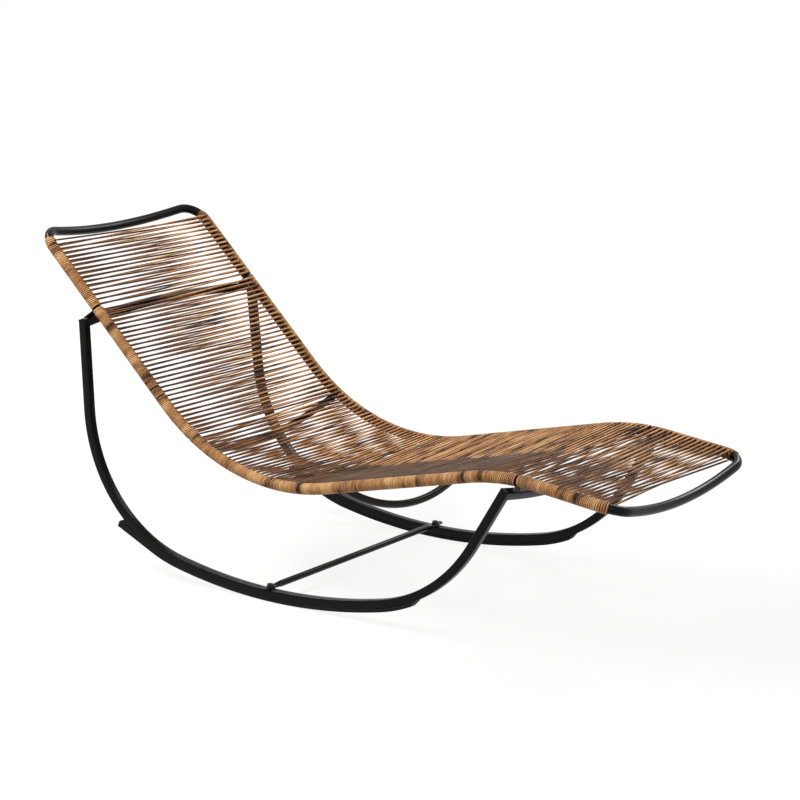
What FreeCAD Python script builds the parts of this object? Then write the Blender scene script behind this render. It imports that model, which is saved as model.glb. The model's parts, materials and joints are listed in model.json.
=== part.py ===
import FreeCAD, Part
import math
import os

# A rocking chaise lounge: two round side rails carry a seat wound from one cane
# strand, and two bent square tubes carry the rails and rock on the floor.
# X runs from head to foot, Y across the seat (the sitter's right is -Y), Z up.
# While it is drawn, X starts at the head end of the winding; at the end the
# whole chaise is moved so that X and Y are zero in the middle of its footprint.

# Seat frame, in millimetres and degrees
RAIL_SPACING = 562.0        # between the centre lines of the two side rails
FRAME_TUBE = 22.0
FRAME_WALL = 1.5
HEAD_HEIGHT = 758.6         # rail centre line above the floor at the head end
BACK_SLOPE = 44.7
BACK_LENGTH = 504.0
LUMBAR_RADIUS = 504.0
LUMBAR_TURN = 57.0
SEAT_LENGTH = 392.0
KNEE_RADIUS = 516.0
KNEE_TURN = 19.9
FOOT_LENGTH = 174.0

# Bowed tubes that close the frame at the head and at the foot
HEAD_REACH = 33.0           # from the end of the winding to the bowed stretch
HEAD_CORNER = 32.0
HEAD_BOW = 41.0             # depth of the bow, away from the sitter
FOOT_REACH = 22.0
FOOT_CORNER = 21.0
FOOT_BOW = 28.0

# Bow tubes that hold the rails apart below the strands
HANGER_TUBE = 18.0
HANGER_WALL = 1.5
LUMBAR_HANGER_AT = 605.0    # along the rail from the head end
LUMBAR_HANGER_DEPTH = 98.0
SEAT_HANGER_AT = 1055.0
SEAT_HANGER_DEPTH = 88.0

# Rockers and cross tubes, bent from square tube
SQUARE_TUBE = 20.0
SQUARE_WALL = 1.5
SQUARE_CORNER = 2.0
ROCKER_SPACING = 660.0      # between the centre planes of the two rockers, on the floor
SPLAY = 1.7                 # degrees that each rocker leans in towards its top
ROCKER_RADIUS = 1368.0
ROCKER_LOWEST_AT = 725.0    # where the runners touch the floor, from the head end
REAR_BEND_RADIUS = 355.0
FRONT_BEND_RADIUS = 368.0
POST_ANGLE = 86.0           # the post's rise from level; it leans back at the top
LEG_ANGLE = 59.0
REAR_CROSS_AT = 221.0       # along the rail from the head end
REAR_CROSS_GAP = 7.4        # between the winding and the cross tube
REAR_BOW_RISE = 18.0        # degrees above level, as the rear bow leans backwards
FRONT_CROSS_AT = 1520.0
FRONT_CROSS_GAP = 3.1
CROSS_BOW = 30.0

# Small plates that join the rails to the cross tubes
GUSSET_THICKNESS = 5.0
GUSSET_TOP_WIDTH = 15.0
GUSSET_FOOT_WIDTH = 13.0    # how much wider it is on the cross tube, outwards
GUSSET_SHIFT = 8.5          # from the middle of the cross tube, towards the rail's end

# Winding
STRAND = 3.4                # across the cane strand
WRAP_THICKNESS = 2.3        # one flattened turn on the rail
STRAND_PITCH = 12.7
STRAND_SIDES = 6
WRAP_GAP_CLEARANCE = 0.5    # between the winding and a gusset, or a bow tube

# Glides under the runners, and their screws
GLIDE_THICKNESS = 8.0
GLIDE_BEVEL = 20.0
GLIDE_START = 275.0         # from the end of the post, along the rocker
GLIDE_END = 100.0           # past the end of the long curve
GLIDE_SCREWS = 3            # in each glide
GLIDE_SCREW_MARGIN = 60.0
GLIDE_SCREW = 4.0
GLIDE_SCREW_HEAD = 8.0
GLIDE_SCREW_HEAD_HEIGHT = 2.5
GLIDE_SCREW_LENGTH = 14.0
GLIDE_SCREW_RECESS = 2.5
GLIDE_SCREW_SIDES = 6

# Brace between the runners, bolted on their top faces
BRACE_AT = -24.0            # from the lowest point of the runners
BRACE_TUBE = 15.0
BRACE_WALL = 1.2
BRACE_TAB_THICKNESS = 4.0
BRACE_TAB_WIDTH = 20.0
BRACE_TAB_OVERHANG = 14.0   # past the outer face of the rocker
BRACE_TAB_CORNER = 0.5      # share of its half width taken off each corner
BRACE_TAPER = 26.0
BRACE_TAB_RUN = 4.0         # flat before the inner face of the rocker
BOLT = 8.0
BOLT_LENGTH = 18.0
BOLT_HEAD_ACROSS = 13.0
BOLT_HEAD_HEIGHT = 5.5
WASHER = 17.0
WASHER_THICKNESS = 1.6
BOLT_CLEARANCE = 0.5
NUT_BARREL = 11.0
NUT_LENGTH = 13.0
NUT_FLANGE = 15.0
NUT_FLANGE_THICKNESS = 0.8

# How finely round things are drawn
TUBE_SIDES = 12
FASTENER_SIDES = 8
RAIL_BEND_STEP = 7.2        # degrees of bend drawn as one straight
CORNER_BEND_STEP = 20.0
BOW_BEND_STEP = 10.0

ALONG_Y = FreeCAD.Vector(0, 1, 0)
SIDES = {"right": -1, "left": 1}
RAIL_RADIUS = FRAME_TUBE / 2
WRAP_RADIUS = RAIL_RADIUS + WRAP_THICKNESS
RAIL_Y = RAIL_SPACING / 2
ROCKER_Y = ROCKER_SPACING / 2
HALF_SQUARE = SQUARE_TUBE / 2
LEAN = math.radians(SPLAY)
FLOOR_LIFT = HALF_SQUARE * math.sin(LEAN)   # keeps the leaning runners above the floor


def lean_in(shape, side):
    """Leans what is built in a rocker's upright plane, so that its top is further in."""
    shape.rotate(FreeCAD.Vector(0, side * ROCKER_Y, 0), FreeCAD.Vector(1, 0, 0), side * SPLAY)
    shape.translate(FreeCAD.Vector(0, 0, FLOOR_LIFT))
    return shape


def leaned_direction(direction, side):
    turn = FreeCAD.Rotation(FreeCAD.Vector(1, 0, 0), side * SPLAY)
    return turn.multVec(direction)


def upright_height(z):
    """Height in a rocker's upright plane of what is at a height when it leans."""
    return (z - FLOOR_LIFT) / math.cos(LEAN)


def leaned_y(z):
    """How far the centre plane of a leaning rocker is from the middle, at a height."""
    return ROCKER_Y - upright_height(z) * math.sin(LEAN)


class Course:
    """A line of straights and tangent arcs in the side view, followed by length.

    With a bend step, its arcs are drawn as chords of at most that many degrees.
    """

    def __init__(self, x, z, heading, bend_step=0.0):
        self.start = (x, z, math.radians(heading))
        self.pieces = []
        self.bend_step = math.radians(bend_step)

    def straight(self, length):
        self.pieces.append((length, 0.0))
        return self

    def arc(self, radius, turn):
        curvature = math.copysign(1.0 / radius, turn)
        self.pieces.append((radius * math.radians(abs(turn)), curvature))
        return self

    def length(self, pieces=None):
        return sum(piece[0] for piece in self.pieces[:pieces])

    def state(self, along):
        """Place and heading at a length along the course."""
        x, z, heading = self.start
        last = len(self.pieces) - 1
        for number, (length, curvature) in enumerate(self.pieces):
            step = along if number == last else min(along, length)
            if curvature:
                x += (math.sin(heading + curvature * step) - math.sin(heading)) / curvature
                z -= (math.cos(heading + curvature * step) - math.cos(heading)) / curvature
            else:
                x += step * math.cos(heading)
                z += step * math.sin(heading)
            heading += curvature * step
            along -= step
            if along <= 0:
                break
        return x, z, heading

    def direction(self, along):
        heading = self.state(along)[2]
        return FreeCAD.Vector(math.cos(heading), 0, math.sin(heading))

    def upward(self, along):
        heading = self.state(along)[2]
        return FreeCAD.Vector(-math.sin(heading), 0, math.cos(heading))

    def stations(self):
        """Lengths at which the drawn line has its corners and ends."""
        stops = [0.0]
        for length, curvature in self.pieces:
            steps = 1
            if curvature and self.bend_step:
                steps = math.ceil(length * abs(curvature) / self.bend_step)
            first = stops[-1]
            stops += [first + length * (number + 1) / steps for number in range(steps)]
        return stops

    def point(self, along, y=0.0, lift=0.0):
        if self.bend_step:
            stops = self.stations()
            low = max([0] + [number for number in range(len(stops) - 1) if stops[number] <= along])
            share = (along - stops[low]) / (stops[low + 1] - stops[low])
            ends = [self.exact_point(stop, y, lift) for stop in stops[low:low + 2]]
            return ends[0] + (ends[1] - ends[0]) * share
        return self.exact_point(along, y, lift)

    def exact_point(self, along, y, lift):
        x, z, heading = self.state(along)
        return FreeCAD.Vector(x, y, z) + self.upward(along) * lift

    def path(self, first, last, y=0.0, lift=0.0):
        """Edges between two lengths, as one wire."""
        stops = [first]
        passed = 0.0
        for length, curvature in self.pieces:
            passed += length
            if first + 1e-6 < passed < last - 1e-6:
                stops.append(passed)
        stops.append(last)
        edges = []
        for low, high in zip(stops, stops[1:]):
            middle = (low + high) / 2
            ends = [self.point(at, y, lift) for at in (low, middle, high)]
            turned = self.state(high)[2] - self.state(low)[2]
            if abs(turned) < 1e-9:
                edges.append(Part.LineSegment(ends[0], ends[2]).toShape())
            else:
                edges.append(Part.Arc(*ends).toShape())
        return Part.Wire(edges)


def rail_course():
    """Centre line of a side rail, from the head end of the winding to its foot end."""
    course = Course(0.0, HEAD_HEIGHT, -BACK_SLOPE, RAIL_BEND_STEP)
    course.straight(BACK_LENGTH).arc(LUMBAR_RADIUS, LUMBAR_TURN)
    course.straight(SEAT_LENGTH).arc(KNEE_RADIUS, -KNEE_TURN)
    return course.straight(FOOT_LENGTH)


RAIL = rail_course()
RAIL_LENGTH = RAIL.length()


def regular_rim(place, across, upward, radius, sides):
    """Closed outline with many equal sides, with a flat side uppermost."""
    turns = [2 * math.pi * (number + 0.5) / sides for number in range(sides)]
    points = [place + across * (radius * math.cos(turn)) + upward * (radius * math.sin(turn))
              for turn in turns]
    return Part.makePolygon(points + points[:1])


def half_width_at(height, radius, sides):
    """Half the width of such an outline at a height above its middle."""
    turns = [math.pi * (2 * number + 1) / sides for number in range(sides // 4 + 1)]
    for low, high in zip(turns, turns[1:]):
        if radius * math.sin(high) >= height:
            break
    share = (height / radius - math.sin(low)) / (math.sin(high) - math.sin(low))
    return radius * (math.cos(low) + (math.cos(high) - math.cos(low)) * share)


def round_bar(line, diameter):
    """A bar through places with headings; its section is carried along untwisted."""
    across = ALONG_Y
    if abs(line[0][1].dot(ALONG_Y)) > 0.5:
        across = line[0][1].cross(ALONG_Y).cross(line[0][1])
    rims = []
    for place, heading in line:
        across = across - heading * (across.dot(heading) / heading.dot(heading))
        across.normalize()
        upward = heading.cross(across).normalize()
        rims.append(regular_rim(place, across, upward, diameter / 2, TUBE_SIDES))
    return Part.makeLoft(rims, True, True)


def round_tube(line, diameter, wall):
    return round_bar(line, diameter).cut(round_bar(line, diameter - 2 * wall))


def arc_line(start, middle, end, bend_step):
    """Places with headings along an arc through three points, one of them its middle."""
    arc = Part.Arc(start, middle, end)
    first = arc.FirstParameter
    reach = arc.LastParameter - first
    steps = 2 * math.ceil(math.degrees(reach) / (2 * bend_step))
    stops = [first + reach * number / steps for number in range(steps + 1)]
    return [(arc.value(stop), FreeCAD.Vector(*arc.tangent(stop)[0])) for stop in stops]


def rail_line(y):
    return [(RAIL.point(stop, y), RAIL.direction(stop)) for stop in RAIL.stations()]


def prism(place, axis, diameter, length, sides=FASTENER_SIDES):
    """A short round piece, drawn with a few sides."""
    across = axis.cross(ALONG_Y)
    if across.Length < 0.5:
        across = FreeCAD.Vector(1, 0, 0)
    across.normalize()
    rim = regular_rim(place, across, axis.cross(across), diameter / 2, sides)
    return Part.Face(rim).extrude(axis * length)


def square_rim(centre, across, upward, width, corner):
    """Closed outline of a square tube, with its corners taken off."""
    half = width / 2
    flat = half - corner
    if corner:
        places = [(half, flat), (flat, half), (-flat, half), (-half, flat),
                  (-half, -flat), (-flat, -half), (flat, -half), (half, -flat)]
    else:
        places = [(half, half), (-half, half), (-half, -half), (half, -half)]
    points = [centre + across * u + upward * v for u, v in places]
    return Part.makePolygon(points + points[:1])


def square_tube(path, centre, across, upward, wall=SQUARE_WALL):
    """A square tube, or a bar without a wall, swept along a path."""
    rims = [square_rim(centre, across, upward, SQUARE_TUBE, SQUARE_CORNER)]
    if wall:
        rims.append(square_rim(centre, across, upward, SQUARE_TUBE - 2 * wall, 0.0))
    return path.makePipe(Part.makeFace(rims, "Part::FaceMakerBullseye"))


def square_reach(tilt):
    """How far a square tube stands out from its centre, in a direction at a tilt."""
    half = HALF_SQUARE
    flat = half - SQUARE_CORNER
    corners = [(half, flat), (flat, half)]
    places = [(su * u, sv * v) for u, v in corners for su in (1, -1) for sv in (1, -1)]
    return max(u * math.cos(tilt) + v * math.sin(tilt) for u, v in places)


def trim_beyond(shape, point, normal):
    """Takes away all that lies past a plane, near a point on it."""
    reach = 4 * SQUARE_TUBE
    return shape.cut(Part.makeCylinder(reach, reach, point, normal))


def end_tube(along, outward, reach, corner, bow):
    """The bowed tube that closes the frame at one end, with its two corners."""
    away = RAIL.upward(along) * -1
    outward = RAIL.direction(along) * outward
    lean = 0.0
    for _ in range(8):
        half_chord = RAIL_Y - corner * math.cos(lean)
        lean = 2 * math.atan(bow / half_chord)
    start = RAIL.point(along, -RAIL_Y)
    inward = ALONG_Y * math.cos(lean) + away * math.sin(lean)
    bend_start = start + outward * (reach - corner)
    half_turn = math.sqrt(0.5)
    bend_middle = bend_start + outward * (corner * half_turn)
    bend_middle += inward * (corner * (1 - half_turn))
    bend_end = bend_start + (outward + inward) * corner
    summit = RAIL.point(along) + outward * reach
    summit += away * (corner * math.sin(lean) + bow)

    def mirrored(place):
        return FreeCAD.Vector(place.x, -place.y, place.z)

    line = [(start, outward)]
    line += arc_line(bend_start, bend_middle, bend_end, CORNER_BEND_STEP)
    line += arc_line(bend_end, summit, mirrored(bend_end), BOW_BEND_STEP)[1:]
    line += arc_line(mirrored(bend_end), mirrored(bend_middle), mirrored(bend_start),
                     CORNER_BEND_STEP)[1:]
    line.append((mirrored(start), outward * -1))
    return round_tube(line, FRAME_TUBE, FRAME_WALL)


def rail(side):
    return round_tube(rail_line(side * RAIL_Y), FRAME_TUBE, FRAME_WALL)


def rail_bar(side):
    """All that a rail takes up, with its bore filled."""
    return round_bar(rail_line(side * RAIL_Y), FRAME_TUBE)


def hanger_line(along, depth):
    """Line of a bow tube below the strands, from rail axis to rail axis."""
    middle = RAIL.point(along) - RAIL.upward(along) * depth
    ends = [RAIL.point(along, side * RAIL_Y) for side in (-1, 1)]
    return arc_line(ends[0], middle, ends[1], BOW_BEND_STEP)


HANGERS = [(LUMBAR_HANGER_AT, LUMBAR_HANGER_DEPTH), (SEAT_HANGER_AT, SEAT_HANGER_DEPTH)]


def hanger(along, depth):
    """A bow tube with its ends cut to sit on the rails."""
    bar = round_tube(hanger_line(along, depth), HANGER_TUBE, HANGER_WALL)
    return bar.cut([rail_bar(side) for side in SIDES.values()])


def strand_reach():
    """How far the outside of a strand below the rails is from the rail axes."""
    return WRAP_RADIUS + 0.5 * STRAND - WRAP_THICKNESS / 2


class CrossTube:
    """A bowed square tube under the rails that joins the two rockers."""

    def __init__(self, along, gap, bow_direction, across):
        self.along = along
        self.bow_direction = bow_direction
        self.across = across
        self.upward = across.cross(ALONG_Y) * -1
        normal = RAIL.upward(along)
        tilt = math.atan2(normal.dot(self.upward), normal.dot(self.across))
        self.drop = strand_reach() + gap + square_reach(tilt)
        under_rail = RAIL.point(along, 0.0, -self.drop)
        self.end = under_rail
        for _ in range(20):
            self.half_y = leaned_y(self.end.z)
            self.radius = (self.half_y ** 2 + CROSS_BOW ** 2) / (2 * CROSS_BOW)
            self.end = under_rail - bow_direction * self.offset(RAIL_Y)

    def offset(self, y):
        """How far the bow has left the line between its ends, at a place y."""
        return CROSS_BOW - self.radius + math.sqrt(self.radius ** 2 - y ** 2)

    def place(self, y):
        return self.end + ALONG_Y * y + self.bow_direction * self.offset(y)

    def bar(self, wall):
        outer_y = self.half_y + SQUARE_TUBE
        path = Part.Arc(self.place(-outer_y), self.place(0.0), self.place(outer_y))
        turn = FreeCAD.Rotation(ALONG_Y.cross(self.bow_direction),
                                math.degrees(math.asin(outer_y / self.radius)))
        return square_tube(Part.Wire(path.toShape()), self.place(-outer_y),
                           turn.multVec(self.across), turn.multVec(self.upward), wall)

    def mitre(self, side, leg_down):
        """A corner, and the normal of the plane in which the tube meets the rocker."""
        lean = math.asin(self.half_y / self.radius)
        outward = ALONG_Y * (side * math.cos(lean)) - self.bow_direction * math.sin(lean)
        return self.place(side * self.half_y), leaned_direction(leg_down, side) + outward

    def solid(self, leg_down):
        """The tube, mitred at both ends to the rockers that rise to it."""
        tube = self.bar(SQUARE_WALL)
        for side in SIDES.values():
            tube = trim_beyond(tube, *self.mitre(side, leg_down))
        return tube


def leg_down():
    """Direction of the leg, from its top."""
    angle = math.radians(LEG_ANGLE)
    return FreeCAD.Vector(-math.cos(angle), 0, -math.sin(angle))


def post_down():
    """Direction of the post, from its top."""
    angle = math.radians(POST_ANGLE)
    return FreeCAD.Vector(math.cos(angle), 0, -math.sin(angle))


def rear_cross():
    rise = math.radians(REAR_BOW_RISE)
    backwards = FreeCAD.Vector(-math.cos(rise), 0, math.sin(rise))
    across = ALONG_Y.cross(post_down()) * -1
    return CrossTube(REAR_CROSS_AT, REAR_CROSS_GAP, backwards, across)


def front_cross():
    across = ALONG_Y.cross(leg_down()) * -1
    return CrossTube(FRONT_CROSS_AT, FRONT_CROSS_GAP, FreeCAD.Vector(0, 0, -1), across)


REAR_CROSS = rear_cross()
FRONT_CROSS = front_cross()
CURVE_CENTRE = FreeCAD.Vector(ROCKER_LOWEST_AT, 0, GLIDE_THICKNESS + HALF_SQUARE + ROCKER_RADIUS)


def end_bend(cross, down, inward, radius):
    """Top of a post or leg, its straight length, and the rocker's heading after its bend."""
    top = FreeCAD.Vector(cross.end.x, 0, upright_height(cross.end.z))
    beside = top + inward * radius - CURVE_CENTRE
    along = beside.dot(down)
    reach = ROCKER_RADIUS - radius
    straight = math.sqrt(along ** 2 - beside.dot(beside) + reach ** 2) - along
    centre = beside + down * straight
    return top, straight, math.degrees(math.atan2(centre.z, centre.x)) + 90


def rocker_course():
    """Centre line of a rocker: post, rear bend, long curve, front bend and leg."""
    post = post_down()
    leg = leg_down()
    top, post_length, rear_heading = end_bend(
        REAR_CROSS, post, FreeCAD.Vector(-post.z, 0, post.x), REAR_BEND_RADIUS)
    _, leg_length, front_heading = end_bend(
        FRONT_CROSS, leg, FreeCAD.Vector(leg.z, 0, -leg.x), FRONT_BEND_RADIUS)
    course = Course(top.x, top.z, -POST_ANGLE)
    course.straight(post_length).arc(REAR_BEND_RADIUS, rear_heading + POST_ANGLE)
    course.arc(ROCKER_RADIUS, front_heading - rear_heading)
    course.arc(FRONT_BEND_RADIUS, LEG_ANGLE - front_heading)
    return course.straight(leg_length)


ROCKER = rocker_course()
ROCKER_LENGTH = ROCKER.length()


def along_rocker_at(x):
    """Length along the rocker at which its long curve passes a place x."""
    low = ROCKER.length(2)
    high = ROCKER.length(3)
    for _ in range(60):
        middle = (low + high) / 2
        if ROCKER.point(middle).x < x:
            low = middle
        else:
            high = middle
    return (low + high) / 2


BRACE_ALONG = along_rocker_at(ROCKER_LOWEST_AT + BRACE_AT)
BRACE_TOP = ROCKER.point(BRACE_ALONG, 0.0, HALF_SQUARE)
BRACE_UP = ROCKER.upward(BRACE_ALONG)


def glide_screw_stations():
    start = GLIDE_START + ROCKER.length(1)
    end = ROCKER.length(3) + GLIDE_END
    first = start + GLIDE_SCREW_MARGIN
    spread = end - GLIDE_SCREW_MARGIN - first
    return [first + spread * number / (GLIDE_SCREWS - 1) for number in range(GLIDE_SCREWS)]


def rocker(side):
    """A rocker of bent square tube, mitred at both tops and bored for its fasteners."""
    y = side * ROCKER_Y
    spare = 2 * SQUARE_TUBE
    first = ROCKER.point(-spare, y)
    path = ROCKER.path(0.0, ROCKER_LENGTH + spare, y)
    head = Part.LineSegment(first, ROCKER.point(0.0, y)).toShape()
    path = Part.Wire([head] + path.Edges)
    tube = square_tube(path, first, ALONG_Y, ROCKER.upward(0.0))
    nut_hole = prism(bolt_place(side, -HALF_SQUARE), BRACE_UP, NUT_BARREL, SQUARE_TUBE)
    screws = [upright_glide_screw(side, along) for along in glide_screw_stations()]
    tube = lean_in(tube.cut([nut_hole] + screws), side)
    for cross, down in ((REAR_CROSS, post_down()), (FRONT_CROSS, leg_down())):
        corner, normal = cross.mitre(side, down)
        tube = trim_beyond(tube, corner, normal * -1)
    return tube


def glide_strip(side):
    """The flat strip that the runner rests on, bevelled at both ends."""
    start = GLIDE_START + ROCKER.length(1)
    end = ROCKER.length(3) + GLIDE_END
    upper = -HALF_SQUARE
    lower = -HALF_SQUARE - GLIDE_THICKNESS
    y = side * ROCKER_Y - HALF_SQUARE
    top = ROCKER.path(start, end, y, upper)
    floor = ROCKER.path(start + GLIDE_BEVEL, end - GLIDE_BEVEL, y, lower)
    ends = [Part.LineSegment(top.Vertexes[0].Point, floor.Vertexes[0].Point).toShape(),
            Part.LineSegment(top.Vertexes[-1].Point, floor.Vertexes[-1].Point).toShape()]
    outline = Part.Wire(Part.__sortEdges__(top.Edges + floor.Edges + ends))
    strip = Part.Face(outline).extrude(ALONG_Y * SQUARE_TUBE)
    for along in glide_screw_stations():
        strip = strip.cut([upright_glide_screw(side, along), glide_recess(side, along)])
    return lean_in(strip, side)


def glide_screw(side, along):
    return lean_in(upright_glide_screw(side, along), side)


def upright_glide_screw(side, along):
    """A screw in a recess, up through the glide and the lower wall of the tube."""
    up = ROCKER.upward(along)
    place = glide_head_place(side, along)
    head = prism(place, up, GLIDE_SCREW_HEAD, GLIDE_SCREW_HEAD_HEIGHT, GLIDE_SCREW_SIDES)
    shank = prism(place, up, GLIDE_SCREW, GLIDE_SCREW_LENGTH, GLIDE_SCREW_SIDES)
    return head.fuse(shank).removeSplitter()


def glide_head_place(side, along):
    """The outer face of a screw head, above the floor side of the glide."""
    depth = HALF_SQUARE + GLIDE_THICKNESS - GLIDE_SCREW_RECESS
    return ROCKER.point(along, side * ROCKER_Y, -depth)


def glide_recess(side, along):
    """The open sink below a screw head."""
    down = ROCKER.upward(along) * -1
    return prism(glide_head_place(side, along), down, GLIDE_SCREW_HEAD,
                 GLIDE_SCREW_HEAD, GLIDE_SCREW_SIDES)


def bolt_place(side, lift):
    return BRACE_TOP + ALONG_Y * (side * ROCKER_Y) + BRACE_UP * lift


def pressed_rim(place, forward, half_width, half_height):
    """Outline of the brace, from round to pressed flat."""
    points = []
    for number in range(FASTENER_SIDES):
        turn = 2 * math.pi * (number + 0.5) / FASTENER_SIDES
        points.append(place + forward * (half_width * math.cos(turn))
                      + BRACE_UP * (half_height * math.sin(turn)))
    return Part.makePolygon(points + points[:1])


def brace_tab(side):
    """The end of the brace, pressed flat and bored, on the top of a runner."""
    inner_y = ROCKER_Y - HALF_SQUARE - 2 * BRACE_TAB_RUN
    end_y = ROCKER_Y + HALF_SQUARE + BRACE_TAB_OVERHANG
    half = BRACE_TAB_WIDTH / 2
    corner = half * BRACE_TAB_CORNER
    shape = [(-half, inner_y), (half, inner_y), (half, end_y - corner), (half - corner, end_y),
             (corner - half, end_y), (-half, end_y - corner)]
    low = BRACE_TOP + BRACE_UP * NUT_FLANGE_THICKNESS
    forward = ROCKER.direction(BRACE_ALONG)
    points = [low + forward * u + ALONG_Y * (side * v) for u, v in shape]
    plate = Part.Face(Part.makePolygon(points + points[:1]))
    plate = plate.extrude(BRACE_UP * BRACE_TAB_THICKNESS)
    hole = prism(bolt_place(side, -BOLT_LENGTH), BRACE_UP, BOLT + BOLT_CLEARANCE, 2 * BOLT_LENGTH)
    return lean_in(plate.cut(hole), side)


def brace():
    """The tube between the runners, pressed flat where it is bolted on them."""
    centre = BRACE_TOP + BRACE_UP * (NUT_FLANGE_THICKNESS + BRACE_TAB_THICKNESS / 2)
    forward = ROCKER.direction(BRACE_ALONG)
    flat_y = ROCKER_Y - HALF_SQUARE - BRACE_TAB_RUN
    round_y = flat_y - BRACE_TAPER
    radius = BRACE_TUBE / 2
    bore = radius - BRACE_WALL
    level = FLOOR_LIFT - (ROCKER_Y - flat_y) * math.sin(LEAN)
    middle = centre + FreeCAD.Vector(0, 0, level)

    def flat_rim(side):
        rim = pressed_rim(centre + ALONG_Y * (side * flat_y), forward,
                          BRACE_TAB_WIDTH / 2, BRACE_TAB_THICKNESS / 2)
        return lean_in(rim, side)

    def round_rim(side, half_width):
        return pressed_rim(middle + ALONG_Y * (side * round_y), forward, half_width, half_width)

    body = Part.makeLoft([flat_rim(-1), round_rim(-1, radius), round_rim(1, radius), flat_rim(1)],
                         True, True)
    body = body.cut(Part.makeLoft([round_rim(-1, bore), round_rim(1, bore)], True, True))
    return body.fuse([brace_tab(side) for side in SIDES.values()]).removeSplitter()


def brace_nut(side):
    """A blind rivet nut in the top wall of the runner."""
    low = NUT_FLANGE_THICKNESS - NUT_LENGTH
    barrel = prism(bolt_place(side, low), BRACE_UP, NUT_BARREL, NUT_LENGTH)
    flange = prism(bolt_place(side, 0.0), BRACE_UP, NUT_FLANGE, NUT_FLANGE_THICKNESS)
    bore = prism(bolt_place(side, -NUT_LENGTH), BRACE_UP, BOLT, 2 * NUT_LENGTH)
    return lean_in(barrel.fuse(flange).cut(bore).removeSplitter(), side)


TAB_TOP = NUT_FLANGE_THICKNESS + BRACE_TAB_THICKNESS


def brace_washer(side):
    place = bolt_place(side, TAB_TOP)
    disc = prism(place, BRACE_UP, WASHER, WASHER_THICKNESS)
    disc = disc.cut(prism(place, BRACE_UP, BOLT + BOLT_CLEARANCE, WASHER_THICKNESS))
    return lean_in(disc, side)


def brace_bolt(side):
    """A hexagon bolt, down through the washer and the tab into the nut."""
    seat = bolt_place(side, TAB_TOP + WASHER_THICKNESS)
    head = prism(seat, BRACE_UP, 2 * BOLT_HEAD_ACROSS / math.sqrt(3), BOLT_HEAD_HEIGHT, 6)
    shank = prism(seat, BRACE_UP * -1, BOLT, BOLT_LENGTH)
    return lean_in(head.fuse(shank), side)


GUSSET_STATIONS = {"rear": REAR_CROSS.along - GUSSET_SHIFT,
                   "front": FRONT_CROSS.along + GUSSET_SHIFT}
CROSS_TUBES = {"rear": REAR_CROSS, "front": FRONT_CROSS}


def gusset(end, side):
    """A plate square to the rail that fills the space down to the cross tube."""
    cross = CROSS_TUBES[end]
    station = GUSSET_STATIONS[end]
    heading = RAIL.direction(station)
    away = RAIL.upward(station) * -1
    origin = RAIL.point(station, side * RAIL_Y) - heading * (GUSSET_THICKNESS / 2)
    half = GUSSET_TOP_WIDTH / 2
    foot = half + GUSSET_FOOT_WIDTH

    def depth(beside):
        """How deep the middle of the cross tube lies below the rail axis, beside it."""
        bow = cross.offset(RAIL_Y + beside) - cross.offset(RAIL_Y)
        return cross.drop + bow * cross.bow_direction.dot(away)

    shape = [(-half, 0.0), (half, 0.0), (half, RAIL_RADIUS), (foot, depth(foot)),
             (-half, depth(-half))]
    points = [origin + ALONG_Y * (side * across) + away * down for across, down in shape]
    plate = Part.Face(Part.makePolygon(points + points[:1])).extrude(heading * GUSSET_THICKNESS)
    return plate.cut([rail_bar(side), cross.bar(0.0)])


def wrap_gap(station, side):
    """A slab across the rail where the winding stops for a gusset."""
    thickness = GUSSET_THICKNESS + 2 * WRAP_GAP_CLEARANCE
    heading = RAIL.direction(station)
    start = RAIL.point(station, side * RAIL_Y) - heading * (thickness / 2)
    rim = regular_rim(start, ALONG_Y, RAIL.upward(station), FRAME_TUBE, 4)
    return Part.Face(rim).extrude(heading * thickness)


def rail_wrap(side):
    """The turns on a rail, as sleeves that stop at the gussets and round the bow tubes."""
    line = rail_line(side * RAIL_Y)
    sleeve = round_bar(line, 2 * WRAP_RADIUS)
    notches = [round_bar(hanger_line(at, depth), HANGER_TUBE + 2 * WRAP_GAP_CLEARANCE)
               for at, depth in HANGERS]
    gaps = [wrap_gap(station, side) for station in GUSSET_STATIONS.values()]
    return sleeve.cut([rail_bar(side)] + notches + gaps)


def strand(along, layer):
    """One straight span of the strand from rail to rail, above or below their axes."""
    lift = WRAP_RADIUS - WRAP_THICKNESS / 2
    half = STRAND / 2
    inner = math.cos(math.pi / STRAND_SIDES) * half
    end_y = RAIL_Y - half_width_at(lift - inner, WRAP_RADIUS, TUBE_SIDES)
    centre = RAIL.point(along, -end_y, layer * lift)
    forward = RAIL.direction(along)
    upward = RAIL.upward(along)
    rim = regular_rim(centre, forward, upward, half, STRAND_SIDES)
    return Part.Face(rim).extrude(ALONG_Y * (2 * end_y))


def strand_stations(layer):
    """Where the spans of a layer lie, moved aside from gussets and bow tubes."""
    count = int(RAIL_LENGTH / STRAND_PITCH)
    spare = RAIL_LENGTH - count * STRAND_PITCH
    shift = 0.25 if layer > 0 else 0.75
    gusset_room = GUSSET_THICKNESS / 2 + WRAP_GAP_CLEARANCE + STRAND / 2
    hanger_room = HANGER_TUBE / 2 + WRAP_GAP_CLEARANCE + STRAND / 2
    keep_clear = [(station, gusset_room) for station in GUSSET_STATIONS.values()]
    if layer < 0:
        keep_clear += [(at, hanger_room) for at, _ in HANGERS]
    stations = []
    for number in range(count):
        along = spare / 2 + (number + shift) * STRAND_PITCH
        for station, room in keep_clear:
            if abs(along - station) < room:
                along = station + math.copysign(room, along - station)
        stations.append(along)
    return stations


ZONES = ["back", "lumbar", "seat", "knee", "foot"]
LAYERS = {"upper": 1, "lower": -1}


def strand_zone(number, layer):
    first = RAIL.length(number)
    last = RAIL.length(number + 1)
    spans = [strand(at, layer) for at in strand_stations(layer) if first <= at < last]
    return Part.makeCompound(spans)


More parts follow.
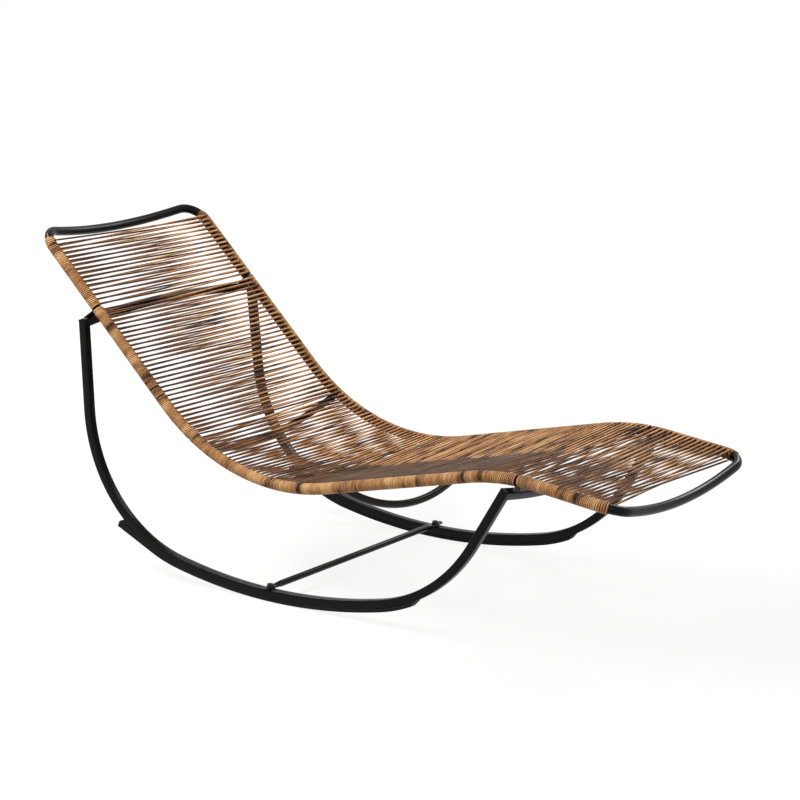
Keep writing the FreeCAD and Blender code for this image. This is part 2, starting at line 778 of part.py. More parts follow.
def build():
    parts = {}
    for name, side in SIDES.items():
        parts["seat_rail_" + name] = rail(side)
        parts["rail_wrap_" + name] = rail_wrap(side)
        parts["rocker_" + name] = rocker(side)
        parts["glide_strip_" + name] = glide_strip(side)
        for end in CROSS_TUBES:
            parts[end + "_gusset_" + name] = gusset(end, side)
    parts["head_tube"] = end_tube(0.0, -1, HEAD_REACH, HEAD_CORNER, HEAD_BOW)
    parts["foot_tube"] = end_tube(RAIL_LENGTH, 1, FOOT_REACH, FOOT_CORNER, FOOT_BOW)
    for name, (along, depth) in zip(("lumbar", "seat"), HANGERS):
        parts[name + "_bow_tube"] = hanger(along, depth)
    parts["rear_cross_tube"] = REAR_CROSS.solid(post_down())
    parts["front_cross_tube"] = FRONT_CROSS.solid(leg_down())
    parts["runner_brace"] = brace()
    groups = {"brace_bolts": brace_bolt, "brace_washers": brace_washer,
              "brace_rivet_nuts": brace_nut}
    for name, maker in groups.items():
        parts[name] = Part.makeCompound([maker(side) for side in SIDES.values()])
    parts["glide_screws"] = Part.makeCompound(
        [glide_screw(side, at) for side in SIDES.values() for at in glide_screw_stations()])
    for number, zone in enumerate(ZONES):
        for layer, sign in LAYERS.items():
            parts[zone + "_strands_" + layer] = strand_zone(number, sign)
    return parts


def main():
    parts = build()
    whole = FreeCAD.BoundBox()
    for shape in parts.values():
        whole.add(shape.optimalBoundingBox(False))
    origin = FreeCAD.Vector((whole.XMin + whole.XMax) / 2, 0, whole.ZMin)
    os.makedirs("parts", exist_ok=True)
    for name, shape in parts.items():
        shape.translate(origin * -1)
        shape.exportStep("parts/" + name + ".step")
    print("footprint centre is %.2f mm from the head end of the winding" % origin.x)
    print("length %.1f, width %.1f, height %.1f" % (whole.XLength, whole.YLength, whole.ZLength))


main()
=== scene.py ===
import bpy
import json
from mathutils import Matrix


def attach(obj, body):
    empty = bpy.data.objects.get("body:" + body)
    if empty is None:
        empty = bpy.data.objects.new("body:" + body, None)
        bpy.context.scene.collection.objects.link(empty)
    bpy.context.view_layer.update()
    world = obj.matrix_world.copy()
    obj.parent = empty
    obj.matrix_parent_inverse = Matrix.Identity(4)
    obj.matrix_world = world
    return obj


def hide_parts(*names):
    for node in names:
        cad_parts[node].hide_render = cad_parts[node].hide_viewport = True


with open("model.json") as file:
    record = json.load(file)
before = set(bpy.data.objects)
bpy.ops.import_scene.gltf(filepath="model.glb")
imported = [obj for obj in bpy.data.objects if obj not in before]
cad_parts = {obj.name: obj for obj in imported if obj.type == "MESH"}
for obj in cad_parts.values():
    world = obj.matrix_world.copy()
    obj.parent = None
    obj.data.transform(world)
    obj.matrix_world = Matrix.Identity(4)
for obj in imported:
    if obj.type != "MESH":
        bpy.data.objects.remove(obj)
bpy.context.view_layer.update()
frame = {"nodes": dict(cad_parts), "record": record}

import json
import math
import random

import bpy
from bpy.props import FloatProperty, FloatVectorProperty, IntProperty, PointerProperty
from mathutils import Matrix, Quaternion, Vector

bl_info = {
    "name": "Rocking chaise lounge",
    "version": (1, 0, 0),
    "blender": (4, 5, 0),
    "location": "View3D > Sidebar > Chaise",
    "description": "Dresses a tube-framed rocking lounger with a wound cane seat",
    "category": "Object",
}

ACROSS = Vector((0.0, 1.0, 0.0))
UP = Vector((0.0, 0.0, 1.0))
SIDES = {"right": -1.0, "left": 1.0}
WHITE = (1.0, 1.0, 1.0, 1.0)


def length(name, text, default):
    return FloatProperty(name=name, description=text, default=default, unit="LENGTH",
                         precision=4)


def angle(name, text, degrees):
    return FloatProperty(name=name, description=text, default=math.radians(degrees),
                         subtype="ANGLE")


def share(name, text, default):
    return FloatProperty(name=name, description=text, default=default, min=0.0, max=1.0,
                         subtype="FACTOR")


def colour(name, text, default):
    return FloatVectorProperty(name=name, description=text, default=default, size=3,
                               min=0.0, max=1.0, subtype="COLOR")


class SeatFrameSettings(bpy.types.PropertyGroup):
    """Round tubes of the seat frame."""

    spacing: length("Rail spacing", "Between the centre lines of the rails", 0.562)
    tube: length("Frame tube", "Outer diameter of the rails", 0.022)
    head_height: length("Head height", "Rail centre line above the floor", 0.7586)
    back_slope: angle("Back slope", "Fall of the back from level", 44.7)
    back: length("Back", "Straight of the back", 0.504)
    lumbar_radius: length("Lumbar radius", "Bend from back to seat", 0.504)
    lumbar_turn: angle("Lumbar turn", "Turn from back to seat", 57.0)
    seat: length("Seat", "Straight of the seat", 0.392)
    knee_radius: length("Knee radius", "Bend from seat to foot", 0.516)
    knee_turn: angle("Knee turn", "Turn from seat to foot", 19.9)
    foot: length("Foot", "Straight of the foot rest", 0.174)
    head_reach: length("Head reach", "Past the winding at the head", 0.028)
    head_corner: length("Head corner", "Bend radius of the head tube's corners", 0.054)
    head_bow: length("Head bow", "Depth of the head tube's bow", 0.024)
    foot_reach: length("Foot reach", "Past the winding at the foot", 0.022)
    foot_corner: length("Foot corner", "Bend radius of the foot tube's corners", 0.048)
    foot_bow: length("Foot bow", "Depth of the foot tube's bow", 0.026)
    hanger_tube: length("Bow tube", "Outer diameter of the bow tubes", 0.018)
    lumbar_hanger: length("Lumbar bow", "Place of the lumbar bow along the rail", 0.605)
    lumbar_depth: length("Lumbar bow depth", "Depth of the lumbar bow", 0.098)
    seat_hanger: length("Seat bow", "Place of the seat bow along the rail", 1.055)
    seat_depth: length("Seat bow depth", "Depth of the seat bow", 0.088)


class RunnerSettings(bpy.types.PropertyGroup):
    """Square tubes that carry the seat frame and rock on the floor."""

    tube: length("Square tube", "Outer width of the square tube", 0.020)
    corner: length("Tube corner", "Corner radius of the square tube", 0.0026)
    spacing: length("Runner spacing", "Between the rockers' centre planes on the floor", 0.660)
    splay: angle("Splay", "How each rocker leans in towards its top", 1.7)
    radius: length("Rocking radius", "Long curve of the rockers", 1.368)
    lowest: length("Lowest point", "Where the runners touch the floor", 0.725)
    rear_bend: length("Rear bend", "Bend from post to runner", 0.355)
    front_bend: length("Front bend", "Bend from runner to leg", 0.368)
    post_angle: angle("Post angle", "Rise of the post from level", 86.0)
    leg_angle: angle("Leg angle", "Rise of the leg from level", 59.0)
    rear_cross: length("Rear cross tube", "Its place along the rail", 0.221)
    rear_gap: length("Rear gap", "Between winding and rear cross tube", 0.0074)
    rear_rise: angle("Rear bow rise", "How the rear bow leans up", 18.0)
    front_cross: length("Front cross tube", "Its place along the rail", 1.520)
    front_gap: length("Front gap", "Between winding and front cross tube", 0.0031)
    cross_bow: length("Cross bow", "Depth of the cross tubes' bow", 0.030)
    plate: length("Gusset", "Thickness of the small plates", 0.005)
    plate_top: length("Gusset top", "Width of a plate at the rail", 0.015)
    plate_foot: length("Gusset foot", "How much wider it is at the cross tube", 0.013)
    plate_shift: length("Gusset shift", "From the middle of the cross tube", 0.0085)
    glide: length("Glide thickness", "Strip below the runner", 0.008)
    glide_bevel: length("Glide bevel", "Slant of the strip's front end", 0.020)
    glide_tail: length("Glide tail", "Extra thickness at the tail's blunt end", 0.007)
    glide_leave: length("Glide leave", "Where the strip's tail leaves the rear bend", 0.383)
    glide_start: length("Glide start", "After the end of the post", 0.267)
    glide_end: length("Glide end", "Past the end of the long curve", 0.100)
    brace_at: length("Brace place", "From the lowest point of the runners", -0.024)
    brace_tube: length("Brace tube", "Outer diameter of the brace", 0.015)
    nut_flange: length("Nut flange", "Between runner and brace end", 0.0008)
    tab: length("Tab thickness", "Flattened end of the brace", 0.004)
    tab_width: length("Tab width", "Flattened end of the brace", 0.020)
    tab_overhang: length("Tab overhang", "Past the outer face of the runner", 0.014)
    taper: length("Taper", "From the flattened end to the round tube", 0.026)


class WindingSettings(bpy.types.PropertyGroup):
    """The cane strand and how it is wound."""

    strand: length("Strand", "Across the strand where it is free", 0.0047)
    strand_depth: length("Strand depth", "Depth of the strand where it is free", 0.0043)
    thickness: length("Turn thickness", "One flattened turn on the rail", 0.0023)
    pitch: length("Pitch", "From one figure of eight to the next", 0.0127)
    turns: IntProperty(name="Turns", description="Turns side by side in one pitch", default=3)
    clearance: length("Clearance", "Beside a plate or a bow tube", 0.0005)
    sag: length("Sag", "Most that a span sags", 0.0022)
    seed: IntProperty(name="Seed", description="Start of the small differences", default=11)
    light: colour("Light cane", "Palest stretches of the strand", (0.80, 0.47, 0.205))
    middle: colour("Middle cane", "Most of the strand", (0.52, 0.25, 0.10))
    dark: colour("Dark cane", "Darkest stretches of the strand", (0.044, 0.020, 0.010))


class FinishSettings(bpy.types.PropertyGroup):
    """Powder coat, glide plastic and fasteners."""

    coat: colour("Powder coat", "Colour of the tubes", (0.0016, 0.0016, 0.0018))
    coat_roughness: share("Coat roughness", "Sheen of the powder coat", 0.20)
    glide: colour("Glide plastic", "Colour of the glides", (0.006, 0.006, 0.0064))
    bolt: colour("Bolt", "Colour of the bolts", (0.008, 0.008, 0.0085))


class StageSettings(bpy.types.PropertyGroup):
    """Floor, light and camera."""

    floor: colour("Floor", "Colour of the floor", (0.55, 0.55, 0.55))
    shadow: share("Shadow", "How much of its own shading the floor shows", 0.20)
    azimuth: angle("Azimuth", "Camera's turn from looking along the width", 35.43)
    elevation: angle("Elevation", "Camera's look down", 12.53)
    lens: FloatProperty(name="Lens", description="Focal length in millimetres on a 36 mm frame",
                        default=109.8)
    camera_x: length("Camera X", "Camera from the head end of the winding", 4.0193)
    camera_y: length("Camera Y", "Camera from the middle plane", -4.4853)
    camera_z: length("Camera Z", "Camera above the floor", 1.6465)


SETTINGS = {
    "chaise_seat_frame": SeatFrameSettings,
    "chaise_runners": RunnerSettings,
    "chaise_winding": WindingSettings,
    "chaise_finish": FinishSettings,
    "chaise_stage": StageSettings,
}


def settings(name):
    return getattr(bpy.context.scene, "chaise_" + name)


def stops(first, last, step):
    """Even places from first to last, at most a step apart."""
    count = max(1, math.ceil((last - first) / step))
    return [first + (last - first) * number / count for number in range(count + 1)]


class Course:
    """A line of straights and tangent arcs in the side view, followed by length."""

    def __init__(self, x, z, heading):
        self.start = (x, z, heading)
        self.pieces = []

    def straight(self, distance):
        self.pieces.append((distance, 0.0))
        return self

    def arc(self, radius, turn):
        self.pieces.append((radius * abs(turn), math.copysign(1.0 / radius, turn)))
        return self

    def length(self, pieces=None):
        return sum(piece[0] for piece in self.pieces[:pieces])

    def state(self, along):
        x, z, heading = self.start
        last = len(self.pieces) - 1
        for number, (distance, curvature) in enumerate(self.pieces):
            step = along if number == last else min(along, distance)
            if curvature:
                turned = heading + curvature * step
                x += (math.sin(turned) - math.sin(heading)) / curvature
                z -= (math.cos(turned) - math.cos(heading)) / curvature
                heading = turned
            else:
                x += step * math.cos(heading)
                z += step * math.sin(heading)
            along -= step
            if along <= 0.0:
                break
        return x, z, heading

    def direction(self, along):
        heading = self.state(along)[2]
        return Vector((math.cos(heading), 0.0, math.sin(heading)))

    def upward(self, along):
        heading = self.state(along)[2]
        return Vector((-math.sin(heading), 0.0, math.cos(heading)))

    def point(self, along, y=0.0, lift=0.0):
        x, z, _ = self.state(along)
        return Vector((x, y, z)) + self.upward(along) * lift


def rail_course(seat):
    course = Course(0.0, seat.head_height, -seat.back_slope)
    course.straight(seat.back).arc(seat.lumbar_radius, seat.lumbar_turn)
    course.straight(seat.seat).arc(seat.knee_radius, -seat.knee_turn)
    return course.straight(seat.foot)


def square_reach(half, tilt, flat_share=0.8):
    """How far a square tube with its corners taken off stands out at a tilt."""
    flat = flat_share * half
    return max(u * abs(math.cos(tilt)) + v * abs(math.sin(tilt))
               for u, v in ((half, flat), (flat, half)))


def floor_lift(runner):
    """What keeps a leaning runner above the floor."""
    return runner.tube / 2 * math.sin(runner.splay)


def upright_height(runner, z):
    """Height in a rocker's upright plane of what is at a height when it leans."""
    return (z - floor_lift(runner)) / math.cos(runner.splay)


class Lean:
    """Leans what is built in a rocker's upright plane in towards its top."""

    def __init__(self, side):
        runner = settings("runners")
        self.turn = Matrix.Rotation(side * runner.splay, 3, "X")
        self.foot = ACROSS * (side * runner.spacing / 2)
        self.lift = UP * floor_lift(runner)

    def way(self, direction):
        return self.turn @ direction

    def place(self, point):
        return self.turn @ (point - self.foot) + self.foot + self.lift


class CrossTube:
    """A bowed square tube under the rails, one arc from rocker to rocker."""

    COVER = 0.0017           # from the middle of a turn of cane to where the gap starts
    ROUNDS = 20              # the height of the ends and their spacing settle together
    STEPS = 44               # from rocker to rocker

    def __init__(self, along, gap, bow_direction, down):
        seat, runner, winding = settings("seat_frame"), settings("runners"), settings("winding")
        rail = rail_course(seat)
        self.bow = runner.cross_bow
        self.bow_direction = bow_direction
        self.down = down
        self.across = down.cross(ACROSS)
        normal = rail.upward(along)
        tilt = math.atan2(normal.dot(down), normal.dot(self.across))
        strand_edge = seat.tube / 2 + winding.thickness / 2 + self.COVER
        self.drop = strand_edge + gap + square_reach(runner.tube / 2, tilt)
        under_rail = rail.point(along, 0.0, -self.drop)
        self.end = under_rail
        for _ in range(self.ROUNDS):
            height = upright_height(runner, self.end.z)
            self.half_y = runner.spacing / 2 - height * math.sin(runner.splay)
            self.radius = (self.half_y ** 2 + self.bow ** 2) / (2 * self.bow)
            self.end = under_rail - bow_direction * self.offset(seat.spacing / 2)
        self.lean = math.asin(self.half_y / self.radius)

    def offset(self, y):
        """How far the bow has left the line between its ends."""
        return self.bow - self.radius + math.sqrt(self.radius ** 2 - y ** 2)

    def place(self, y):
        return self.end + ACROSS * y + self.bow_direction * self.offset(y)

    def frames(self):
        """Places, headings and cross directions from the right end to the left one."""
        axis = ACROSS.cross(self.bow_direction)
        frames = []
        for number in range(self.STEPS + 1):
            angle_here = self.lean * (1 - 2 * number / self.STEPS)
            turn = Quaternion(axis, angle_here)
            place = self.place(-self.radius * math.sin(angle_here))
            frames.append((place, turn @ ACROSS, turn @ self.across, turn @ self.down))
        return frames

    def mitre(self, side):
        """A corner, and the normal of the plane in which the tube meets the rocker."""
        outward = ACROSS * (side * math.cos(self.lean)) - self.bow_direction * math.sin(self.lean)
        return self.place(side * self.half_y), Lean(side).way(self.down) + outward


def downward(rise, way):
    """Down a post, way 1, or a leg, way -1, that rises at an angle from level."""
    return Vector((way * math.cos(rise), 0.0, -math.sin(rise)))


def rear_cross():
    runner = settings("runners")
    backwards = Vector((-math.cos(runner.rear_rise), 0.0, math.sin(runner.rear_rise)))
    return CrossTube(runner.rear_cross, runner.rear_gap, backwards,
                     downward(runner.post_angle, 1.0))


def front_cross():
    runner = settings("runners")
    return CrossTube(runner.front_cross, runner.front_gap, UP * -1,
                     downward(runner.leg_angle, -1.0))


def curve_centre(runner):
    return Vector((runner.lowest, 0.0, runner.glide + runner.tube / 2 + runner.radius))


def end_bend(cross, way, radius):
    """Top of a post or leg, its straight length, and the rocker's heading after its bend."""
    runner = settings("runners")
    inward = Vector((-cross.down.z, 0.0, cross.down.x)) * way
    top = Vector((cross.end.x, 0.0, upright_height(runner, cross.end.z)))
    beside = top + inward * radius - curve_centre(runner)
    along = beside.dot(cross.down)
    reach = runner.radius - radius
    straight = math.sqrt(along ** 2 - beside.dot(beside) + reach ** 2) - along
    centre = beside + cross.down * straight
    return top, straight, math.atan2(centre.z, centre.x) + math.pi / 2


def rocker_course():
    """Centre line of a rocker in its upright plane: post, three bends and leg."""
    runner = settings("runners")
    top, post, rear_heading = end_bend(rear_cross(), 1.0, runner.rear_bend)
    _, leg, front_heading = end_bend(front_cross(), -1.0, runner.front_bend)
    course = Course(top.x, top.z, -runner.post_angle)
    course.straight(post).arc(runner.rear_bend, rear_heading + runner.post_angle)
    course.arc(runner.radius, front_heading - rear_heading)
    course.arc(runner.front_bend, runner.leg_angle - front_heading)
    return course.straight(leg)


def footprint_shift():
    """From the head end of the winding to the middle of the footprint."""
    return settings("runners").lowest - frame["record"]["mounts"][0]["pos_m"][0]


def placed(name, data):
    """A new object, linked to the scene."""
    piece = bpy.data.objects.new(name, data)
    bpy.context.scene.collection.objects.link(piece)
    return piece


class Builder:
    """Collects swept skins and turns them into one smooth mesh object."""

    def __init__(self, name):
        self.name = name
        self.vertices = []
        self.faces = []
        self.marks = {"strand_place": [], "patch_place": [], "tucked": []}

    def rings(self, rings, closed=False):
        """Skins between rings of points, with a face over each end unless it is closed."""
        base = len(self.vertices)
        count = len(rings[0])
        for ring in rings:
            self.vertices += ring
        spans = len(rings) if closed else len(rings) - 1
        for number in range(spans):
            low = base + number * count
            high = base + ((number + 1) % len(rings)) * count
            for corner in range(count):
                after = (corner + 1) % count
                self.faces.append((low + corner, low + after, high + after, high + corner))
        if not closed:
            self.faces.append(tuple(base + corner for corner in reversed(range(count))))
            last = base + (len(rings) - 1) * count
            self.faces.append(tuple(last + corner for corner in range(count)))

    def finish(self, slot_name, nodes, sharp=40.0):
        mesh = bpy.data.meshes.new(self.name)
        move = Vector((footprint_shift(), 0.0, 0.0))
        mesh.from_pydata([vertex - move for vertex in self.vertices], [], self.faces)
        for name, places in self.marks.items():
            if places:
                layer = mesh.attributes.new(name, "FLOAT_VECTOR", "POINT")
                layer.data.foreach_set("vector", [value for place in places for value in place])
        mesh.polygons.foreach_set("use_smooth", [True] * len(mesh.polygons))
        mesh.set_sharp_from_angle(angle=math.radians(sharp))
        mesh.materials.append(material(slot_name))
        piece = placed(self.name, mesh)
        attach(piece, "root")
        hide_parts(*nodes)


def carried_frames(line, across):
    """Places with headings, and a cross direction carried along untwisted."""
    frames = []
    for place, heading in line:
        heading = heading.normalized()
        across = (across - heading * across.dot(heading)).normalized()
        frames.append((place, heading, across, heading.cross(across)))
    return frames


def oval_section(half_width, half_depth, sides, fullness=1.0):
    """A round or oval outline; with a fullness under one it is boxier."""
    points = []
    for number in range(sides):
        turn = 2 * math.pi * (number + 0.5) / sides
        u = math.copysign(abs(math.cos(turn)) ** fullness, math.cos(turn))
        v = math.copysign(abs(math.sin(turn)) ** fullness, math.sin(turn))
        points.append((half_width * u, half_depth * v))
    return points


def rounded_square(half_width, half_depth, corner, steps=4):
    points = []
    for quarter, (su, sv) in enumerate(((1, 1), (-1, 1), (-1, -1), (1, -1))):
        for number in range(steps + 1):
            turn = math.pi / 2 * (quarter + number / steps)
            points.append((su * (half_width - corner) + corner * math.cos(turn),
                           sv * (half_depth - corner) + corner * math.sin(turn)))
    return points


def swept(frames, section):
    return [[place + across * u + upward * v for u, v in section]
            for place, _, across, upward in frames]


def arc_line(start, middle, end, steps):
    """Places with headings along an arc through three points."""
    first, second = middle - start, end - start
    normal = first.cross(second)
    offset = second.length_squared * normal.cross(first)
    offset -= first.length_squared * normal.cross(second)
    centre = start + offset / (2 * normal.length_squared)
    axis = normal.normalized()
    spoke = start - centre
    side = axis.cross(spoke)
    sweep = math.atan2((end - centre).dot(side), (end - centre).dot(spoke)) % (2 * math.pi)
    line = []
    for number in range(steps + 1):
        turn = sweep * number / steps
        place = centre + spoke * math.cos(turn) + side * math.sin(turn)
        heading = side * math.cos(turn) - spoke * math.sin(turn)
        line.append((place, heading.normalized()))
    return line


class FrameEnd:
    """Head or foot of the seat frame, where a bowed tube bends into the rails."""

    ROUNDS = 8               # the bow's slant and its width settle together
    CORNER_STEPS = 12
    BOW_STEPS = 32

    def __init__(self, name, along, way):
        seat = settings("seat_frame")
        self.name = name
        self.along = along
        self.way = way
        self.half = seat.spacing / 2
        self.reach = getattr(seat, name + "_reach")
        self.corner = getattr(seat, name + "_corner")
        self.bow = getattr(seat, name + "_bow")
        self.inset = self.corner - self.reach
        self.lean = 0.0
        for _ in range(self.ROUNDS):
            width = self.half - self.corner * math.cos(self.lean)
            self.lean = 2 * math.atan(self.bow / width)

    def bent(self, along):
        """How far into the bend a place on the rail is."""
        return self.inset - (self.along - along) * self.way

    def tube_line(self, rail):
        """From the right rail's end round both corners to the left rail's."""
        away = rail.upward(self.along) * -1
        outward = rail.direction(self.along) * self.way
        inward = ACROSS * math.cos(self.lean) + away * math.sin(self.lean)
        bend_start = rail.point(self.along, -self.half) + outward * (self.reach - self.corner)
        diagonal = math.sqrt(0.5)
        right = [bend_start,
                 bend_start + outward * (self.corner * diagonal)
                 + inward * (self.corner * (1 - diagonal)),
                 bend_start + (outward + inward) * self.corner]
        left = [Vector((place.x, -place.y, place.z)) for place in reversed(right)]
        summit = rail.point(self.along) + outward * self.reach
        summit += away * (self.corner * math.sin(self.lean) + self.bow)
        return (arc_line(*right, self.CORNER_STEPS)
                + arc_line(right[-1], summit, left[0], self.BOW_STEPS)[1:]
                + arc_line(*left, self.CORNER_STEPS)[1:])


def frame_ends(rail):
    return [FrameEnd("head", 0.0, -1.0), FrameEnd("foot", rail.length(), 1.0)]


class RailFrame:
    """Centre and directions of a rail at one place, its bent ends included."""

    def __init__(self, rail, ends, side, along):
        self.heading = rail.direction(along)
        self.upward = rail.upward(along)
        self.outward = ACROSS * side
        self.centre = rail.point(along, side * ends[0].half)
        for end in ends:
            into = end.bent(along)
            if into <= 0.0:
                continue
            inward = self.outward * -math.cos(end.lean) - self.upward * math.sin(end.lean)
            slant = math.asin(into / end.corner)
            self.centre += inward * (end.corner * (1 - math.cos(slant)))
            turn = Quaternion(self.heading.cross(inward), end.way * slant)
            for direction in (self.heading, self.upward, self.outward):
                direction.rotate(turn)


def mitred(ring, heading, corner, normal):
    """Moves a ring along a heading on to a mitre plane."""
    slope = heading.dot(normal)
    return [point - heading * ((point - corner).dot(normal) / slope) for point in ring]


class Value:
    """A shader socket that can stand in a sum; each operation adds a Math node."""

    def __init__(self, shader, socket):
        self.shader = shader
        self.socket = socket

    def math(self, operation, *others):
        return self.shader.calculate(operation, self, *others)

    def __add__(self, other):
        return self.math("ADD", other)

    def __sub__(self, other):
        return self.math("SUBTRACT", other)

    def __rsub__(self, other):
        return self.shader.calculate("SUBTRACT", other, self)

    def __mul__(self, other):
        return self.math("MULTIPLY", other)

    __radd__ = __add__
    __rmul__ = __mul__


def opaque(tone):
    """A colour with its alpha; a socket stays as it is."""
    return tone if isinstance(tone, Value) else (*tone, 1.0)


class Shader:
    """Nodes being written for a material or a world, and one way to add any of them."""

    def __init__(self, owner, output="ShaderNodeOutputMaterial"):
        owner.use_nodes = True
        self.owner = owner
        self.tree = owner.node_tree
        self.tree.nodes.clear()
        self.output = self.tree.nodes.new(output)

    def add(self, kind, options, values, output=0):
        node = self.tree.nodes.new(kind)
        for name, value in options.items():
            if name == "stops":
                self.set_stops(node.color_ramp, value)
            else:
                setattr(node, name, value)
        for key, value in values.items():
            socket = node.inputs[key]
            if isinstance(value, Value):
                self.tree.links.new(value.socket, socket)
            else:
                socket.default_value = value
        return Value(self, node.outputs[output])

    def set_stops(self, ramp, stops_of_ramp):
        while len(ramp.elements) < len(stops_of_ramp):
            ramp.elements.new(0.5)
        for element, (place, tone) in zip(ramp.elements, stops_of_ramp):
            element.position = place
            element.color = opaque(tone)

    def calculate(self, operation, *values):
        return self.add("ShaderNodeMath", {"operation": operation}, dict(enumerate(values)))

    def blend(self, factor, first, second):
        """A colour between two colours."""
        return self.add("ShaderNodeMix", {"data_type": "RGBA"},
                        {0: factor, 6: opaque(first), 7: opaque(second)}, 2)

    def noise(self, vector, scale, detail, roughness):
        return self.add("ShaderNodeTexNoise", {}, {"Vector": vector, "Scale": scale,
                                                   "Detail": detail, "Roughness": roughness})

    def place(self):
        return self.add("ShaderNodeTexCoord", {}, {}, "Object")

    def attribute(self, name):
        return self.add("ShaderNodeAttribute", {"attribute_name": name}, {}, "Vector")

    def part(self, vector, axis):
        return self.add("ShaderNodeSeparateXYZ", {}, {0: vector}, axis)

    def scaled(self, vector, x, y, z):
        return self.add("ShaderNodeVectorMath", {"operation": "MULTIPLY"},
                        {0: vector, 1: (x, y, z)})

    def ramp(self, value, stops_of_ramp):
        return self.add("ShaderNodeValToRGB", {"stops": stops_of_ramp}, {0: value})

    def remap(self, value, low, high, new_low, new_high):
        return self.add("ShaderNodeMapRange", {}, {0: value, 1: low, 2: high,
                                                   3: new_low, 4: new_high})

    def bump(self, height, strength, distance):
        return self.add("ShaderNodeBump", {}, {"Strength": strength, "Distance": distance,
                                               "Height": height})

    def rays(self, *kinds):
        """One where a ray is of any of these kinds."""
        first, *others = [self.add("ShaderNodeLightPath", {}, {}, "Is %s Ray" % kind)
                          for kind in kinds]
        for other in others:
            first = first.math("MAXIMUM", other)
        return first

    def finish(self, value):
        self.tree.links.new(value.socket, self.output.inputs["Surface"])
        return self.owner

    def surface(self, **values):
        names = {key.replace("_", " "): value for key, value in values.items()}
        return self.finish(self.add("ShaderNodeBsdfPrincipled", {}, names))


def cane_material():
    """Mottled synthetic cane: patches that neighbours share, and fine streaks along it.

    Painted shade darkens it beside the next turn, on its underside, on the inner side of the rail
    and at the end of a span under the other rail.
    """
    winding = settings("winding")
    shader = Shader(bpy.data.materials.new("mottled cane"))
    strand = shader.attribute("strand_place")
    patch = shader.attribute("patch_place")
    cloud = shader.noise(shader.scaled(patch, 8.0, 30.0, 1.0), 1.0, 2.0, 0.5)
    band = shader.noise(shader.scaled(strand, 2.6, 0.0, 0.0), 1.0, 3.0, 0.6)
    stretch = shader.noise(shader.scaled(strand, 17.0, 0.0, 0.0), 1.0, 2.0, 0.6)
    streak = shader.noise(shader.scaled(strand, 60.0, 1.4, 1.4), 1.0, 3.0, 0.65)
    shade = 0.5 + (cloud - 0.5) * 1.25 + (band - 0.5) * 0.75
    shade = shade + (stretch - 0.5) * 0.60 + (streak - 0.5) * 0.40
    cane = shader.ramp(shade, [(0.26, winding.dark), (0.45, winding.middle),
                               (0.52, winding.middle), (0.72, winding.light)])
    # Painted crease shade: the sides of a turn, where it lies against the next turn, blend
    # towards dark cane.
    side = shader.part(strand, "Y").math("ABSOLUTE")
    tucked = shader.attribute("tucked")
    painted_crease_shade = shader.remap(side, 0.66, 1.0, 0.0, 0.92) * shader.part(tucked, "Y")
    # Painted shade on the strand's underside, blended towards dark cane.
    below = shader.remap(shader.part(strand, "Z"), 0.05, -0.65, 0.0, 0.90)
    # Painted shade on the rail's inner side and at the end of a span that comes under the other
    # rail.
    hidden = shader.part(tucked, "X") * 0.72
    cane = shader.blend(painted_crease_shade.math("MAXIMUM", below).math("MAXIMUM", hidden), cane,
                        winding.dark)
    roughness = shader.remap(streak, 0.3, 0.7, 0.34, 0.52)
    return shader.surface(Base_Color=cane, Roughness=roughness,
                          Normal=shader.bump(streak, 0.4, 0.0005), Specular_IOR_Level=0.08)


def worn_finish(name, tone, worn, spots, spread, dulling, sheen, relief=None, **values):
    """A tone with worn spots, a sheen that varies and a fine relief.

    Spots, dulling and relief each start with a noise's scale, detail and roughness. The
    relief ends with its strength. Spread and sheen are what the noise is mapped to.
    """
    shader = Shader(bpy.data.materials.new(name))
    place = shader.place()
    spotted = shader.remap(shader.noise(place, *spots), *spread)
    values["Roughness"] = shader.remap(shader.noise(place, *dulling), 0.3, 0.7, *sheen)
    if relief:
        *grain, strength = relief
        values["Normal"] = shader.bump(shader.noise(place, *grain), strength, 0.0002)
    return shader.surface(Base_Color=shader.blend(spotted, tone, worn), **values)


def coat_material():
    """Satin black powder coat with a fine orange peel and a few duller patches."""
    finish = settings("finish")
    low = finish.coat_roughness
    return worn_finish("black powder coat", finish.coat, (0.004, 0.004, 0.0044),
                       spots=(260.0, 3.0, 0.7), spread=(0.55, 0.8, 0.0, 0.5),
                       dulling=(9.0, 3.0, 0.6), sheen=(low, low + 0.12),
                       relief=(1400.0, 2.0, 0.5, 0.10), Specular_IOR_Level=0.12)


def glide_material():
    """Matt black plastic, scuffed where it meets the floor."""
    scuff = (60.0, 4.0, 0.75)
    return worn_finish("glide plastic", settings("finish").glide, (0.016, 0.016, 0.016),
                       spots=scuff, spread=(0.5, 0.75, 0.0, 0.7), dulling=scuff,
                       sheen=(0.5, 0.7), relief=(1800.0, 2.0, 0.6, 0.2),
                       Specular_IOR_Level=0.12)


def bolt_material():
    """Blackened steel with brighter worn specks."""
    wear = (420.0, 4.0, 0.7)
    return worn_finish("blackened steel", settings("finish").bolt, (0.05, 0.05, 0.05),
                       spots=wear, spread=(0.58, 0.72, 0.0, 1.0), dulling=wear,
                       sheen=(0.32, 0.5), relief=(*wear, 0.15), Metallic=0.3)


def zinc_material():
    """Zinc plating on the hidden nuts and screws."""
    cloud = (300.0, 4.0, 0.7)
    return worn_finish("zinc plate", (0.42, 0.42, 0.40), (0.62, 0.62, 0.60), spots=cloud,
                       spread=(0.0, 1.0, 0.0, 1.0), dulling=cloud, sheen=(0.3, 0.5),
                       Metallic=1.0)


MAKERS = {"cane": cane_material, "frame": coat_material, "glide": glide_material,
          "fastener": bolt_material, "zinc": zinc_material}
made = {}


def material(slot_name):
    if slot_name not in made:
        made[slot_name] = MAKERS[slot_name]()
    return made[slot_name]


